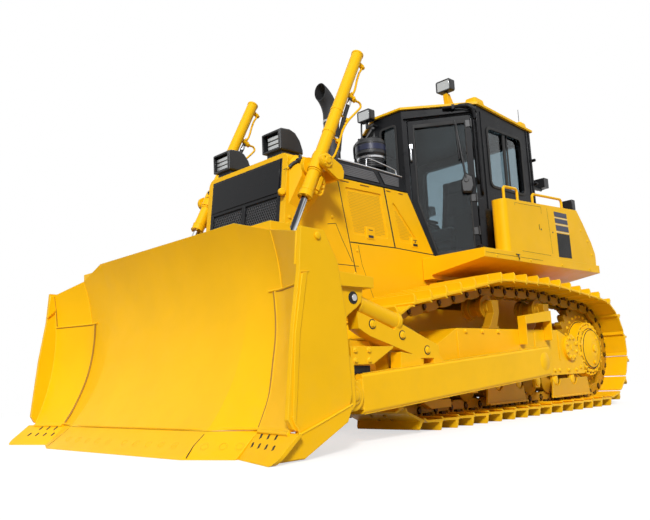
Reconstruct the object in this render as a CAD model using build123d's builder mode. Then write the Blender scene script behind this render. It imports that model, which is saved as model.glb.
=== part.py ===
from build123d import *
import os
from math import asin, atan2, cos, degrees, hypot, radians, sin, tan

os.makedirs("parts", exist_ok=True)

# A track-type bulldozer of the 20-tonne class with a sigma-plan blade.
# Millimetres. +X is the machine's left, the blade is at -Y, +Z is up, the ground is z = 0
# and the origin is under the middle of the whole machine.

# ---------------------------------------------------------------- driving dimensions
TRACK_GAUGE = 1880
SHOE_WIDTH = 610
PITCH = 203.2
SHOES = 42
GROUSER_TIP = 138          # from the pin line out to the grouser's tip
SHOE_IN, SHOE_OUT = 58, 73  # the shoe plate, measured out from the pin line
RAIL_IN = -50              # the link's rail, measured in from the pin line
SPROCKET = (2120, 578.5)
IDLER = (-860, 500)
SPROCKET_PIN_R = 440.5
IDLER_PIN_R = 362
CARRIERS = (300, 1180)
CARRIER_PIN_Z = 1110
TRACK_X = TRACK_GAUGE / 2
LINK_X = (50, 80)          # each link strand, out from the middle of the track

ARM_PIVOT = (480, 463)     # rear trunnion of the push arms
LIFT_PIVOT = (-1362, 2040)  # trunnion of the lift cylinders
LIFT_EYE = (-1951, 880)    # rod eye on the blade's back
LIFT_X = 708
ARM_X = 1368
HOOD_X = 500
DECK_Z = 1455
CAB_A, CAB_B, CAB_C = (183, 366), (800, 790), (800, 1800)
CAB_TOP, ROOF_T, ROOF_FALL = 3046, 48, 4.2      # at the cab's front; the fall to the back in degrees
ENGINE_TOP = 1760
EXHAUST, INTAKE = (0, -462), (235, -190)
PIVOT = (1560, 590)        # shaft that the track frames swing on
PIVOT_R = 75
GUARD_X, GUARD_T, GUARD_TOP = 520, 60, 2168    # outside, wall and top of the radiator guard


def save(piece, name):
    piece.part.label = name
    export_step(piece.part, f"parts/{name}.step")


def plate(outline, x0, x1, mode=Mode.ADD):
    """A plate standing across X, whose outline is given as (y, z)."""
    with BuildSketch(Plane.YZ.offset(x0)) as face:
        with BuildLine():
            Polyline(*outline, close=True)
        make_face()
    extrude(face.sketch, amount=x1 - x0, mode=mode)


def block(x0, x1, y0, y1, z0, z1, mode=Mode.ADD):
    with BuildSketch(Plane.XY.offset(z0)) as face:
        with Locations(((x0 + x1) / 2, (y0 + y1) / 2)):
            Rectangle(abs(x1 - x0), abs(y1 - y0))
    extrude(face.sketch, amount=z1 - z0, mode=mode)


def drum(x0, x1, centre, r, bore=0, mode=Mode.ADD):
    """A disc or tube along X about (y, z)."""
    with BuildSketch(Plane.YZ.offset(x0)) as face:
        with Locations(centre):
            Circle(r)
            if bore:
                Circle(bore, mode=Mode.SUBTRACT)
    extrude(face.sketch, amount=x1 - x0, mode=mode)


def bar(start, end, r, bore=0, mode=Mode.ADD):
    """A round bar or tube from one point to another."""
    along = Vector(*end) - Vector(*start)
    with BuildSketch(Plane(origin=start, z_dir=along)) as face:
        Circle(r)
        if bore:
            Circle(bore, mode=Mode.SUBTRACT)
    extrude(face.sketch, amount=along.length, mode=mode)


def level(outline, z0, z1, mode=Mode.ADD):
    """A flat prism whose plan is given as (x, y)."""
    with BuildSketch(Plane.XY.offset(z0)) as face:
        with BuildLine():
            Polyline(*outline, close=True)
        make_face()
    extrude(face.sketch, amount=z1 - z0, mode=mode)


# ---------------------------------------------------------------- blade
# Sections of the mouldboard's face: x, then (y, z) at the foot, the belly and the top.
BOARD_T = 32
FACE = (
    (900, (-2558, 145), (-2244, 800), (-2322, 1423)),
    (1237, (-2446, 150), (-2228, 760), (-2304, 1322)),
    (1616, (-2535, 150), (-2378, 700), (-2400, 1237)),
)


def face_section(x, foot, belly, top, back=BOARD_T):
    """The mouldboard's section at x, its face an arc through three points given as (y, z)."""
    with BuildSketch(Plane.YZ.offset(x)) as section:
        with BuildLine():
            ThreePointArc(foot, belly, top)
            Line(top, (top[0] + back, top[1]))
            ThreePointArc((top[0] + back, top[1]), (belly[0] + back, belly[1]), (foot[0] + back, foot[1]))
            Line((foot[0] + back, foot[1]), foot)
        make_face()
    return section.sketch


with BuildPart() as moldboard:
    extrude(face_section(*FACE[0]), amount=-FACE[0][0])
    for inner, outer in zip(FACE, FACE[1:]):
        loft([face_section(*inner), face_section(*outer)], ruled=True)
    # end plates stand proud of the wings, to hold the load in front of the blade
    plate([(-2426, 1256), (-2250, 1250), (-2150, 1075), (-2105, 775), (-2085, 325), (-2140, 170),
           (-2470, 8), (-2650, 8), (-2500, 136), (-2500, 150), (-2541, 165), (-2572, 215), (-2558, 330),
           (-2512, 680), (-2452, 1000)], 1616, 1646)
    mirror(about=Plane.YZ)
save(moldboard, "moldboard")

EDGE_T, EDGE_RISE = 41, 134


def edge_section(x, toe, top):
    """Cutting steel at x: a plate that lies back from its toe on the ground to its top."""
    with BuildSketch(Plane.YZ.offset(x)) as section:
        with BuildLine():
            Polyline((toe, 0), (toe + EDGE_T, 0), (top + 26, EDGE_RISE), (top + 26, EDGE_RISE + 9),
                     (top, EDGE_RISE + 9), close=True)
        make_face()
    return section.sketch


with BuildPart() as cutting_edge:
    middle = edge_section(900, -2745, -2558)
    extrude(middle, amount=-900)
    loft([middle, edge_section(1237, -2612, -2446)], ruled=True)
    mirror(about=Plane.YZ)
save(cutting_edge, "cutting_edge")

BIT_CORNER_R = 48
with BuildPart() as end_bits:
    loft([edge_section(1240, -2592, -2446), edge_section(1703, -2741, -2556)], ruled=True)
    with BuildSketch(Plane.XZ.offset(2400)) as corner:
        with Locations((1703 - BIT_CORNER_R / 2, BIT_CORNER_R / 2)):
            Rectangle(BIT_CORNER_R, BIT_CORNER_R)
        with Locations((1703 - BIT_CORNER_R, BIT_CORNER_R)):
            Circle(BIT_CORNER_R, mode=Mode.SUBTRACT)
    extrude(corner.sketch, amount=400, mode=Mode.SUBTRACT)
    mirror(about=Plane.YZ)
save(end_bits, "end_bits")

with BuildPart() as board_space:
    # everything from the mouldboard's back face forward, which its frame keeps out of
    sections = []
    for x, foot, belly, top in ((0, *FACE[0][1:]), *FACE):
        with BuildSketch(Plane.YZ.offset(x)) as section:
            with BuildLine():
                ThreePointArc(*((y + BOARD_T, z) for y, z in (foot, belly, top)))
                Polyline((top[0] + BOARD_T, top[1]), (-3000, top[1]), (-3000, foot[1]),
                         (foot[0] + BOARD_T, foot[1]))
            make_face()
        sections.append(section.sketch)
    for inner, outer in zip(sections, sections[1:]):
        loft([inner, outer], ruled=True)

BEAM_LOW, BEAM_HIGH = 560, 1130     # top of the lower beam, foot of the upper one
with BuildPart() as blade_frame:
    # box beams behind the face
    plate([(-2300, BEAM_HIGH), (-2300, 1380), (-2150, 1380), (-2090, 1240), (-2090, BEAM_HIGH)],
          0, 1237)
    plate([(-2430, 160), (-2430, BEAM_LOW), (-2060, BEAM_LOW), (-2010, 500), (-2010, 260),
           (-2120, 160)], 0, 1600)
    add(board_space.part, mode=Mode.SUBTRACT)
    mirror(about=Plane.YZ)
save(blade_frame, "blade_frame")

with BuildPart() as blade_ribs:
    for x in (250, 630, 786, 1080):
        plate([(-2350, BEAM_LOW), (-2350, BEAM_HIGH), (-2090, BEAM_HIGH), (-2060, 1050),
               (-2060, BEAM_LOW)], x - 12, x + 12)
    add(board_space.part, mode=Mode.SUBTRACT)
    mirror(about=Plane.YZ)
save(blade_ribs, "blade_ribs")

ARM_PIN = (-1900, 305)
COVER_Z = 968              # foot of the box over the tilt link's pin
TILT_PIN, TILT_PIN_R = (-1828, 903), 26
with BuildPart() as blade_ears:
    # a pair for each lift rod
    for x in (LIFT_X - 65.5, LIFT_X + 35.5):
        with BuildSketch(Plane.YZ.offset(x)) as ear:
            with BuildLine():
                Polyline((-2230, 1070), (-2060, 1030), (-1960, 952), (-1879, 880), (-1960, 808),
                         (-2060, 660), (-2200, 620), close=True)
            make_face()
            with Locations(LIFT_EYE):
                Circle(72)
                Circle(34, mode=Mode.SUBTRACT)
        extrude(ear.sketch, amount=30)
    # a pair for each push arm, closed round its pin
    for x in (ARM_X - 98, ARM_X + 83):
        with BuildSketch(Plane.YZ.offset(x)) as ear:
            with BuildLine():
                Polyline((-2010, 500), (-1870, 392), (-1815, 305), (-1870, 218), (-2010, 262),
                         close=True)
            make_face()
            with Locations(ARM_PIN):
                Circle(92)
        extrude(ear.sketch, amount=26)
    # a pair for the tilt link, each side, with a box over it that keeps spill off the pin
    for x in (ARM_X - 80, ARM_X + 50):
        plate([(-2400, 1150), (-2220, 1150), (-2100, 1062), (-1720, 1040), (-1752, 880), (-1800, 842),
               (-1870, 800), (-2086, 640), (-2086, BEAM_LOW), (-2420, BEAM_LOW)], x, x + 30)
        drum(x, x + 30, TILT_PIN, TILT_PIN_R + 0.1, mode=Mode.SUBTRACT)
    plate([(-2300, 1075), (-1660, 1038), (-1666, COVER_Z), (-2300, COVER_Z)], ARM_X - 80, ARM_X + 112)
    block(ARM_X - 50, ARM_X + 50, -2086, -1700, COVER_Z - 1, COVER_Z + 30, mode=Mode.SUBTRACT)
    add(board_space.part, mode=Mode.SUBTRACT)
    mirror(about=Plane.YZ)
save(blade_ears, "blade_ears")

ARM_HALF, ARM_HIGH, ARM_ROUND = 82, 244, 22
ARM_ENDS = ((-1780, 310), (570, 468))       # middle of the arm's section at each end
with BuildPart() as push_arms:
    for y, z in ARM_ENDS:
        with BuildSketch(Plane.XZ.offset(-y)):
            with Locations((ARM_X, z)):
                RectangleRounded(2 * ARM_HALF, ARM_HIGH, ARM_ROUND)
    loft(ruled=True)
    # open box in the arm's back near the blade
    block(ARM_X - 56, ARM_X + 56, -1775, -1610, 380, 480, mode=Mode.SUBTRACT)
    plate([(-1779, 400), (-1779, 215), (-1900, 230), (-1900, 380)], ARM_X - 66, ARM_X + 76)
    drum(ARM_X - 66, ARM_X + 76, ARM_PIN, 84)
    # socket of the trunnion, closed on the outside, with its cap
    drum(ARM_X - 120, ARM_X - 60, ARM_PIVOT, 118)
    drum(ARM_X - 240, ARM_X + 70, ARM_PIVOT, 60.1, mode=Mode.SUBTRACT)
    block(ARM_X - 60, ARM_X + 74, 570, 606, 370, 566)
    # bracket for the inner end of the brace
    plate([(-1740, 400), (-1740, 650), (-1560, 640), (-1520, 560), (-1500, 420)], ARM_X - 72, ARM_X - 50)
    mirror(about=Plane.YZ)
save(push_arms, "push_arms")


def arm_top(y):
    """Just above the arm's upper face."""
    (y0, z0), (y1, z1) = ARM_ENDS
    return z0 + ARM_HIGH / 2 + (z1 - z0) * (y - y0) / (y1 - y0) + 0.5


LINK = [(-1760, 826), (-1410, 712), (-1352, 760), (-940, 606), (-927, 516), (-1186, 521), (-1222, 545),
        (-1650, 668), (-1750, 716)]
LINK_FOOT = [(-1354, 566), (-1361, arm_top(-1361)), (-1120, arm_top(-1120)), (-1150, 530), (-1222, 545)]
LINK_HALF = 46
TILT_GLAND, TILT_END = (-1735, 877), (-1335, 760)    # ends of the tilt cylinder's tube
for side, name in ((1, "tilt_cylinder"), (-1, "pitch_brace")):
    x = side * ARM_X
    with BuildPart() as link:
        drum(x - LINK_HALF, x + LINK_HALF, TILT_PIN, 62)
        # box link down to the arm, with the cylinder or a plain tube lying on it
        plate(LINK, x - LINK_HALF, x + LINK_HALF)
        plate(LINK_FOOT, x - LINK_HALF, x + LINK_HALF)
        bar((x, *TILT_PIN), (x, *TILT_GLAND), 42)
        bar((x, *TILT_GLAND), (x, *TILT_END), 62 if side > 0 else 48)
        drum(x - 78, x + 78, TILT_PIN, TILT_PIN_R)
        plate([(-1000, arm_top(-1000)), (-1000, 530), (-930, 530), (-880, arm_top(-880))],
              x - LINK_HALF, x + LINK_HALF)
    save(link, name)

# ---------------------------------------------------------------- lift cylinders
lean = atan2(LIFT_EYE[0] - LIFT_PIVOT[0], LIFT_EYE[1] - LIFT_PIVOT[1])
down = Vector(0, sin(lean), cos(lean))          # along the cylinder, towards the blade
rest_length = hypot(LIFT_EYE[0] - LIFT_PIVOT[0], LIFT_EYE[1] - LIFT_PIVOT[1])


def on_cylinder(x, distance, behind=0):
    """A point down the cylinder from its trunnion, moved out behind it."""
    return (x, LIFT_PIVOT[0] + down.Y * distance - down.Z * behind,
            LIFT_PIVOT[1] + down.Z * distance + down.Y * behind)


TUBE_R, BORE_R, TUBE_UP, TUBE_DOWN, TRUNNION = 49, 40, 1187, 317, 106
ROD_R, ROD_LENGTH = 27, 1461
SWIVEL_UP, SWIVEL_OUT, SWIVEL_R = 770, 84, 20    # fitting that the hose hangs from
TAIL_ROOT, TAIL_END = (-1340, 2074), (-1262, 2096)   # its tail at the trunnion
HOSE_R = 17
for side, word in ((1, "left"), (-1, "right")):
    x = side * LIFT_X
    piston = rest_length - ROD_LENGTH
    with BuildPart() as tube:
        bar(on_cylinder(x, -TUBE_UP), on_cylinder(x, TUBE_DOWN), TUBE_R)
        bar(on_cylinder(x, -70), on_cylinder(x, 70), 60)
        bar(on_cylinder(x, TUBE_DOWN - 46), on_cylinder(x, TUBE_DOWN), 54)
        drum(x - TRUNNION, x + TRUNNION, LIFT_PIVOT, 30)
        # ports behind the tube near each end, and the hose's two fittings
        for distance in (-TUBE_UP + 70, TUBE_DOWN - 95):
            bar(on_cylinder(x, distance), on_cylinder(x, distance, 86), 20)
        bar(on_cylinder(x, -SWIVEL_UP), on_cylinder(x, -SWIVEL_UP, SWIVEL_OUT + 24), SWIVEL_R)
        bar((x, *TAIL_ROOT), (x, *TAIL_END), SWIVEL_R)
        bar(on_cylinder(x, -TUBE_UP + 40), on_cylinder(x, TUBE_DOWN - 50), BORE_R, mode=Mode.SUBTRACT)
        bar(on_cylinder(x, TUBE_DOWN - 55), on_cylinder(x, TUBE_DOWN + 10), ROD_R + 0.2,
            mode=Mode.SUBTRACT)
    save(tube, f"lift_cylinder_{word}")
    with BuildPart() as rod:
        bar(on_cylinder(x, piston), on_cylinder(x, piston + 55), BORE_R - 0.3)
        bar(on_cylinder(x, piston + 50), on_cylinder(x, rest_length - 40), ROD_R)
        drum(x - 34, x + 34, LIFT_EYE, 58)
        drum(x - 34, x + 34, LIFT_EYE, 34, mode=Mode.SUBTRACT)
    save(rod, f"lift_rod_{word}")
    # pressure hose from the pipes down to the trunnion, held at both ends by the tube
    tail = (Vector(0, *TAIL_ROOT) - Vector(0, *TAIL_END)).normalized()
    with BuildPart() as hose:
        with BuildLine() as route:
            FilletPolyline(on_cylinder(x, -SWIVEL_UP + SWIVEL_R + 0.5, SWIVEL_OUT), (x, -1056, 2449),
                           Vector(x, *TAIL_END) - tail * 160, Vector(x, *TAIL_END) - tail * 0.5, radius=90)
        with BuildSketch(Plane(origin=route.line @ 0, z_dir=route.line % 0)) as section:
            Circle(HOSE_R)
        sweep(section.sketch, path=route.line)
    save(hose, f"lift_hose_{word}")

# ---------------------------------------------------------------- main frame and engine
with BuildPart() as main_frame:
    plate([(-1480, 560), (-1480, 900), (-900, 1000), (900, 1000), (1500, 1250), (2350, 1250),
           (2440, 1150), (2440, 700), (2200, 520), (1500, 440), (-1000, 440)], -440, 440)
    plate([(-900, 850), (-900, 1010), (60, 1010), (60, 850)], -380, 380, mode=Mode.SUBTRACT)
save(main_frame, "main_frame")

with BuildPart() as pivot_shafts:
    drum(440.5, 1150, PIVOT, PIVOT_R)
    # bolted cover on the outside of the track frame
    drum(1131, 1156, PIVOT, 124)
    # trunnion that the push arm turns on
    drum(1130.5, ARM_X + 62, ARM_PIVOT, 60)
    drum(1130.5, 1150, ARM_PIVOT, 112)
    mirror(about=Plane.YZ)
save(pivot_shafts, "pivot_shafts")

with BuildPart() as engine:
    block(-330, 330, -860, 20, 860, ENGINE_TOP)
save(engine, "engine")

with BuildPart() as equalizer_bar:
    plate([(-160, 640), (-40, 640), (-20, 760), (-180, 760)], 441, 760)
    mirror(about=Plane.YZ)
save(equalizer_bar, "equalizer_bar")

# ---------------------------------------------------------------- front guard, grille and hood
CHEEKS, CHEEK_T = (600, 786), 30    # inner and outer cheek of each cylinder's fork
with BuildPart() as radiator_guard:
    # a welded arch with rounded shoulders, slanted at the back to meet the engine doors
    with BuildSketch(Plane.XZ.offset(1560)) as arch:
        with Locations((0, GUARD_TOP - 750)):
            RectangleRounded(2 * GUARD_X, 1500, 62)
        with Locations((0, GUARD_TOP - 840)):
            Rectangle(2 * (GUARD_X - GUARD_T), 1600, mode=Mode.SUBTRACT)
    extrude(arch.sketch, amount=-860)
    plate([(-1490, GUARD_TOP), (-1560, 1560), (-1560, 900), (-700, 900), (-838, 1520), (-948, 2058),
           (-948, GUARD_TOP)], -GUARD_X, GUARD_X, mode=Mode.INTERSECT)
    block(GUARD_T - GUARD_X, GUARD_X - GUARD_T, -1560, -1480, 900, 1180)
    # shoulder castings and the fork that holds each lift cylinder
    for side in (1, -1):
        with BuildSketch(Plane.YZ.offset(side * GUARD_X)) as foot:
            with BuildLine():
                Polyline((-1474, 2090), (-1420, 2150), (-1200, 2150), (-1172, 1860), (-1320, 1690),
                         (-1500, 1750), close=True)
            make_face()
        with BuildSketch(Plane.YZ.offset(side * (CHEEKS[0] + 1))) as nose:
            with BuildLine():
                Polyline((-1430, 2086), (-1400, 2118), (-1214, 2124), (-1200, 1962), (-1330, 1930),
                         (-1428, 1968), close=True)
            make_face()
        loft([foot.sketch, nose.sketch], ruled=True)
        for x, boss in zip(CHEEKS, (72, 58)):
            with BuildSketch(Plane.YZ.offset(side * x)) as cheek:
                with Locations(LIFT_PIVOT):
                    Circle(boss)
                with BuildLine():
                    Polyline((-1340, 2040 + boss - 4), (-1205, 2030), (-1180, 1985), (-1192, 1918),
                             (-1250, 1912), (-1396, 2040 - boss + 14), close=True)
                make_face()
            extrude(cheek.sketch, amount=side * CHEEK_T)
        # web that joins the cheeks behind the cylinder
        plate([(-1240, 2012), (-1198, 2004), (-1182, 1968), (-1198, 1922), (-1240, 1922)],
              side * (CHEEKS[0] + CHEEK_T - 5), side * (CHEEKS[1] + 4))
    drum(-820, 820, LIFT_PIVOT, 30.1, mode=Mode.SUBTRACT)
save(radiator_guard, "radiator_guard")

with BuildPart() as radiator:
    block(-440, 440, -1330, -1120, 1010, 2060)
save(radiator, "radiator")

with BuildPart() as grille_mask:
    plate([(-1497, 2127), (-1557, 1600), (-1557, 1182), (-1500, 1182), (-1450, 2127)], -458, 458)
    for x0, x1 in ((-420, -22), (22, 420)):
        plate([(-1700, 1820), (-1700, 1230), (-1400, 1230), (-1400, 1820)], x0, x1, mode=Mode.SUBTRACT)
        plate([(-1520, 1822), (-1549, 1560), (-1549, 1228), (-1541, 1228), (-1541, 1560),
               (-1512, 1822)], x0, x1)
save(grille_mask, "grille_mask")

# Hood top: y, half width at the foot, foot z, half width at the top, top z
HOOD = ((-946, 500, 2064, 440, 2243), (-350, 500, 2064, 440, 2236), (-14, 500, 2064, 440, 2222))
with BuildPart() as hood_top:
    for y, foot, z0, half, z1 in HOOD:
        with BuildSketch(Plane.XZ.offset(-y)):
            with BuildLine():
                Polyline((-foot, z0), (foot, z0), (half, z1), (-half, z1), close=True)
            make_face()
    loft(ruled=True)
    for spot, bore in ((EXHAUST, 76), (INTAKE, 66)):
        bar((*spot, 2000), (*spot, 2300), bore, mode=Mode.SUBTRACT)
save(hood_top, "hood_top")

with BuildPart() as hood_sides:
    # fixed panels below the engine doors
    plate([(-694, 905), (-829, 1512), (-240, 1518), (330, 1500), (330, 1010), (-600, 1010)], 470, HOOD_X)
    mirror(about=Plane.YZ)
save(hood_sides, "hood_sides")

# Each engine door: its outline, and the recess for its perforated panel, as (y, z)
DOOR_T, RECESS = 30, 9
DOORS = {
    "front": ([(-940, 2054), (-830, 1522), (-248, 1526), (-352, 2054)],
              [(-843, 1986), (-395, 1990), (-328, 1596), (-770, 1590)]),
    "rear": ([(-344, 2054), (-240, 1526), (318, 1508), (-12, 2054)],
             [(-252, 1962), (118, 1580), (-166, 1584)]),
}
for side, word in ((1, "left"), (-1, "right")):
    for place, (outline, recess) in DOORS.items():
        with BuildPart() as door:
            plate(outline, side * (HOOD_X - DOOR_T), side * HOOD_X)
            with BuildSketch(Plane.YZ.offset(side * HOOD_X)) as sunk:
                with BuildLine():
                    Polyline(*recess, close=True)
                make_face()
                fillet(sunk.vertices(), 14)
            extrude(sunk.sketch, amount=-side * RECESS, mode=Mode.SUBTRACT)
        save(door, f"engine_door_{place}_{word}")

MOUTH_Y = -590             # the bent stack is cut upright here
with BuildPart() as exhaust_stack:
    bar((*EXHAUST, ENGINE_TOP), (*EXHAUST, 2850), 74, bore=67)
    with BuildSketch(Plane.XY.offset(2850)):
        with Locations(EXHAUST):
            Circle(74)
            Circle(67, mode=Mode.SUBTRACT)
    revolve(axis=Axis((0, EXHAUST[1] - 240, 2850), (1, 0, 0)), revolution_arc=78)
    plate([(-900, 2860), (-900, 3400), (MOUTH_Y, 3400), (MOUTH_Y, 2860)], -100, 100, mode=Mode.SUBTRACT)
save(exhaust_stack, "exhaust_stack")

with BuildPart() as air_precleaner:
    # inlet pipe, finned body, and the wide bowl with its cap
    with BuildSketch(Plane.XZ.offset(-INTAKE[1])) as half:
        with BuildLine():
            Polyline(*((INTAKE[0] + r, z) for r, z in (
                (0, ENGINE_TOP), (60, ENGINE_TOP), (60, 2300), (112, 2316), (118, 2400), (134, 2430),
                (142, 2440), (142, 2548), (128, 2586), (0, 2594))), close=True)
        make_face()
    revolve(half.sketch, axis=Axis((*INTAKE, 0), (0, 0, 1)))
save(air_precleaner, "air_precleaner")

LAMP_X, LAMP_FRONT = (222, 446), -1502
with BuildPart() as headlamps:
    # a hooded box with a round back, on a plinth
    plate([(LAMP_FRONT, 2206), (LAMP_FRONT, 2372), (-1474, 2388), (-1388, 2394), (-1330, 2374),
           (-1282, 2318), (-1252, 2240), (-1252, 2206)], *LAMP_X)
    sides = headlamps.edges().group_by(Axis.X)
    fillet(sides[0] + sides[-1], 18)
    block(LAMP_X[0] + 18, LAMP_X[1] - 18, LAMP_FRONT, LAMP_FRONT + 56, 2222, 2356, mode=Mode.SUBTRACT)
    block(LAMP_X[0] + 24, LAMP_X[1] - 24, -1470, -1290, GUARD_TOP + 0.5, 2210)
    mirror(about=Plane.YZ)
save(headlamps, "headlamps")

# ---------------------------------------------------------------- cab
WALL = 60
SILL, HEAD = 1485, 2930      # foot and head of the door openings
SIDE_WINDOW = (1261, 2510, 654, 620)   # centre y and z, width, height
# front and rear windows: the glass's y, then its centre, width, height and corner radius
END_WINDOWS = ((386, 2590, 210, 650, 40), (1765, 2400, 1280, 840, 60))
GLASS_T = 8
side_wall = Vector(CAB_B[0] - CAB_A[0], CAB_B[1] - CAB_A[1], 0)
door_width = side_wall.length
door_plane = Plane(origin=(*CAB_A, 0), x_dir=side_wall, z_dir=(side_wall.Y, -side_wall.X, 0))


def cab_plan(grow, z):
    """The cab's six-cornered plan, its sides moved out by grow."""
    with BuildSketch(Plane.XY.offset(z)) as plan:
        with BuildLine():
            Polyline(CAB_A, CAB_B, CAB_C, (-CAB_C[0], CAB_C[1]), (-CAB_B[0], CAB_B[1]),
                     (-CAB_A[0], CAB_A[1]), close=True)
        make_face()
        if grow:
            offset(amount=grow, kind=Kind.INTERSECTION, mode=Mode.REPLACE)
    return plan.sketch


def door_sketch(gap, depth):
    """The doorway on the wall between two pillars, cut back low down to pass the hood."""
    with BuildSketch(door_plane.offset(-depth)) as doorway:
        with BuildLine():
            Polyline((50 + gap, HEAD - gap), (50 + gap, 2080), (240 + gap, SILL + gap),
                     (door_width - 60 - gap, SILL + gap), (door_width - 60 - gap, HEAD - gap), close=True)
        make_face()
    return doorway.sketch


with BuildPart() as doorway:
    extrude(door_sketch(0, 150), amount=250)

roof_hinge = Axis((0, CAB_A[1], CAB_TOP), (-1, 0, 0))    # the roof's fall turns about the cab's front edge


def roof_foot(y):
    """Height of the frame's top, where the roof lies."""
    return CAB_TOP - (y - CAB_A[1]) * tan(radians(ROOF_FALL))


with BuildPart() as cab_frame:
    extrude(cab_plan(0, DECK_Z), amount=CAB_TOP - DECK_Z)
    extrude(cab_plan(-WALL, DECK_Z), amount=CAB_TOP - DECK_Z, mode=Mode.SUBTRACT)
    plate([(300, roof_foot(300)), (300, 3200), (1900, 3200), (1900, roof_foot(1900))], -900, 900,
          mode=Mode.SUBTRACT)
    add(doorway.part, mode=Mode.SUBTRACT)
    mirror(doorway.part, about=Plane.YZ, mode=Mode.SUBTRACT)
    # rounded side, front and rear windows
    with BuildSketch(Plane.YZ.offset(-900)) as side_window:
        with Locations((SIDE_WINDOW[0], SIDE_WINDOW[1])):
            RectangleRounded(SIDE_WINDOW[2], SIDE_WINDOW[3], 60)
    extrude(side_window.sketch, amount=1800, mode=Mode.SUBTRACT)
    for y, (glass_y, centre, width, height, r) in zip((470, 1900), END_WINDOWS):
        with BuildSketch(Plane.XZ.offset(-y)) as window:
            with Locations((0, centre)):
                RectangleRounded(width, height, r)
        extrude(window.sketch, amount=200, mode=Mode.SUBTRACT)
save(cab_frame, "cab_frame")

with BuildPart() as cab_windows:
    for y, centre, width, height, r in END_WINDOWS:
        with BuildSketch(Plane.XZ.offset(-y)) as pane:
            with Locations((0, centre)):
                RectangleRounded(width, height, r)
        extrude(pane.sketch, amount=-GLASS_T)
    for x in (765, -765 - GLASS_T):
        with BuildSketch(Plane.YZ.offset(x)) as pane:
            with Locations((SIDE_WINDOW[0], SIDE_WINDOW[1])):
                RectangleRounded(SIDE_WINDOW[2], SIDE_WINDOW[3], 60)
        extrude(pane.sketch, amount=GLASS_T)
save(cab_windows, "cab_windows")

DOOR_RAIL = 55
with BuildPart() as cab_door_left:
    extrude(door_sketch(8, 52), amount=48)
    with BuildSketch(door_plane.offset(-60)) as pane:
        add(door_plane.offset(-60).to_local_coords(door_sketch(8, 60)))
        offset(amount=-DOOR_RAIL, kind=Kind.INTERSECTION, mode=Mode.REPLACE)
        fillet(pane.vertices(), 45)
    extrude(amount=80, mode=Mode.SUBTRACT)
with BuildPart() as door_glass_left:
    extrude(pane.sketch, amount=30)
    extrude(pane.sketch, amount=22, mode=Mode.SUBTRACT)
save(cab_door_left, "cab_door_left")
save(door_glass_left, "door_glass_left")
for left, name in ((cab_door_left, "cab_door_right"), (door_glass_left, "door_glass_right")):
    with BuildPart() as right:
        mirror(left.part, about=Plane.YZ)
    save(right, name)

with BuildPart() as cab_roof:
    extrude(cab_plan(24, CAB_TOP), amount=ROOF_T / 2)
    loft([cab_plan(24, CAB_TOP + ROOF_T / 2), cab_plan(-34, CAB_TOP + ROOF_T)], ruled=True)
    # pads over the pillars and along each side
    for side in (1, -1):
        with BuildSketch(Plane.XY.offset(CAB_TOP + 20)) as pad:
            with Locations((side * 742, 850)):
                RectangleRounded(150, 190, 40)
            with Locations((side * 750, 1690)):
                RectangleRounded(120, 150, 40)
        extrude(pad.sketch, amount=62, taper=14)
    with BuildSketch(Plane.XY.offset(CAB_TOP + 40)) as hatch:
        with Locations((0, 1150)):
            RectangleRounded(900, 800, 120)
    extrude(hatch.sketch, amount=24, taper=20)
    add(cab_roof.part.rotate(roof_hinge, ROOF_FALL), mode=Mode.REPLACE)
save(cab_roof, "cab_roof")

with BuildPart() as cab_floor:
    block(-500, 500, 345, 1900, 1250, DECK_Z)
    level([(500, 500), (780, 800), (780, 1800), (500, 1800)], 1396, DECK_Z)
    level([(-500, 500), (-780, 800), (-780, 1800), (-500, 1800)], 1396, DECK_Z)
save(cab_floor, "cab_floor")

with BuildPart() as operator_seat:
    block(-170, 170, 1080, 1400, DECK_Z, 1790)
    # cushion and back with rounded corners
    with BuildSketch(Plane.XY.offset(1790)) as cushion:
        with Locations((0, 1230)):
            RectangleRounded(520, 500, 70)
    extrude(cushion.sketch, amount=130)
    with BuildSketch(Plane((0, 1440, 1925), x_dir=(1, 0, 0), z_dir=(0, 1, -0.16))) as back:
        with Locations((0, -330)):
            RectangleRounded(500, 680, 90)
    extrude(back.sketch, amount=100)
save(operator_seat, "operator_seat")

with BuildPart() as control_consoles:
    for side in (1, -1):
        plate([(950, DECK_Z), (950, 1980), (1000, 2070), (1560, 2090), (1560, DECK_Z)],
              side * 320, side * 560)
    plate([(432, DECK_Z), (432, 2170), (470, 2190), (552, 2080), (530, DECK_Z)], -140, 140)
save(control_consoles, "control_consoles")

with BuildPart() as work_lights:
    # one leans up from the roof, one hangs off the front pillar, two stand out behind the cab
    for x, y, z in ((515, 700, 3276), (-228, 300, 3092)):
        with BuildSketch(Plane.XZ.offset(-y - 36)) as case:
            with Locations((x, z)):
                RectangleRounded(176, 120, 20)
        extrude(case.sketch, amount=72)
    foot = roof_foot(760) + ROOF_T + 2
    plate([(700, foot + 4), (810, foot - 4), (790, foot + 12), (724, 3200), (684, 3200)], 493, 537)
    bar((515, 704, 3190), (515, 704, 3222), 17)
    bar((-150, CAB_A[1] - 0.5, 2975), (-150, 290, 2975), 15)
    bar((-150, 304, 2975), (-228, 304, 2975), 15)
    bar((-228, 304, 2960), (-228, 304, 3040), 15)
    for side in (1, -1):
        bar((side * 770, CAB_C[1], 2330), (side * 770, 1990, 2330), 15)
        block(side * 700, side * 840, 1950, 2040, 2344, 2450)
save(work_lights, "work_lights")

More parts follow.
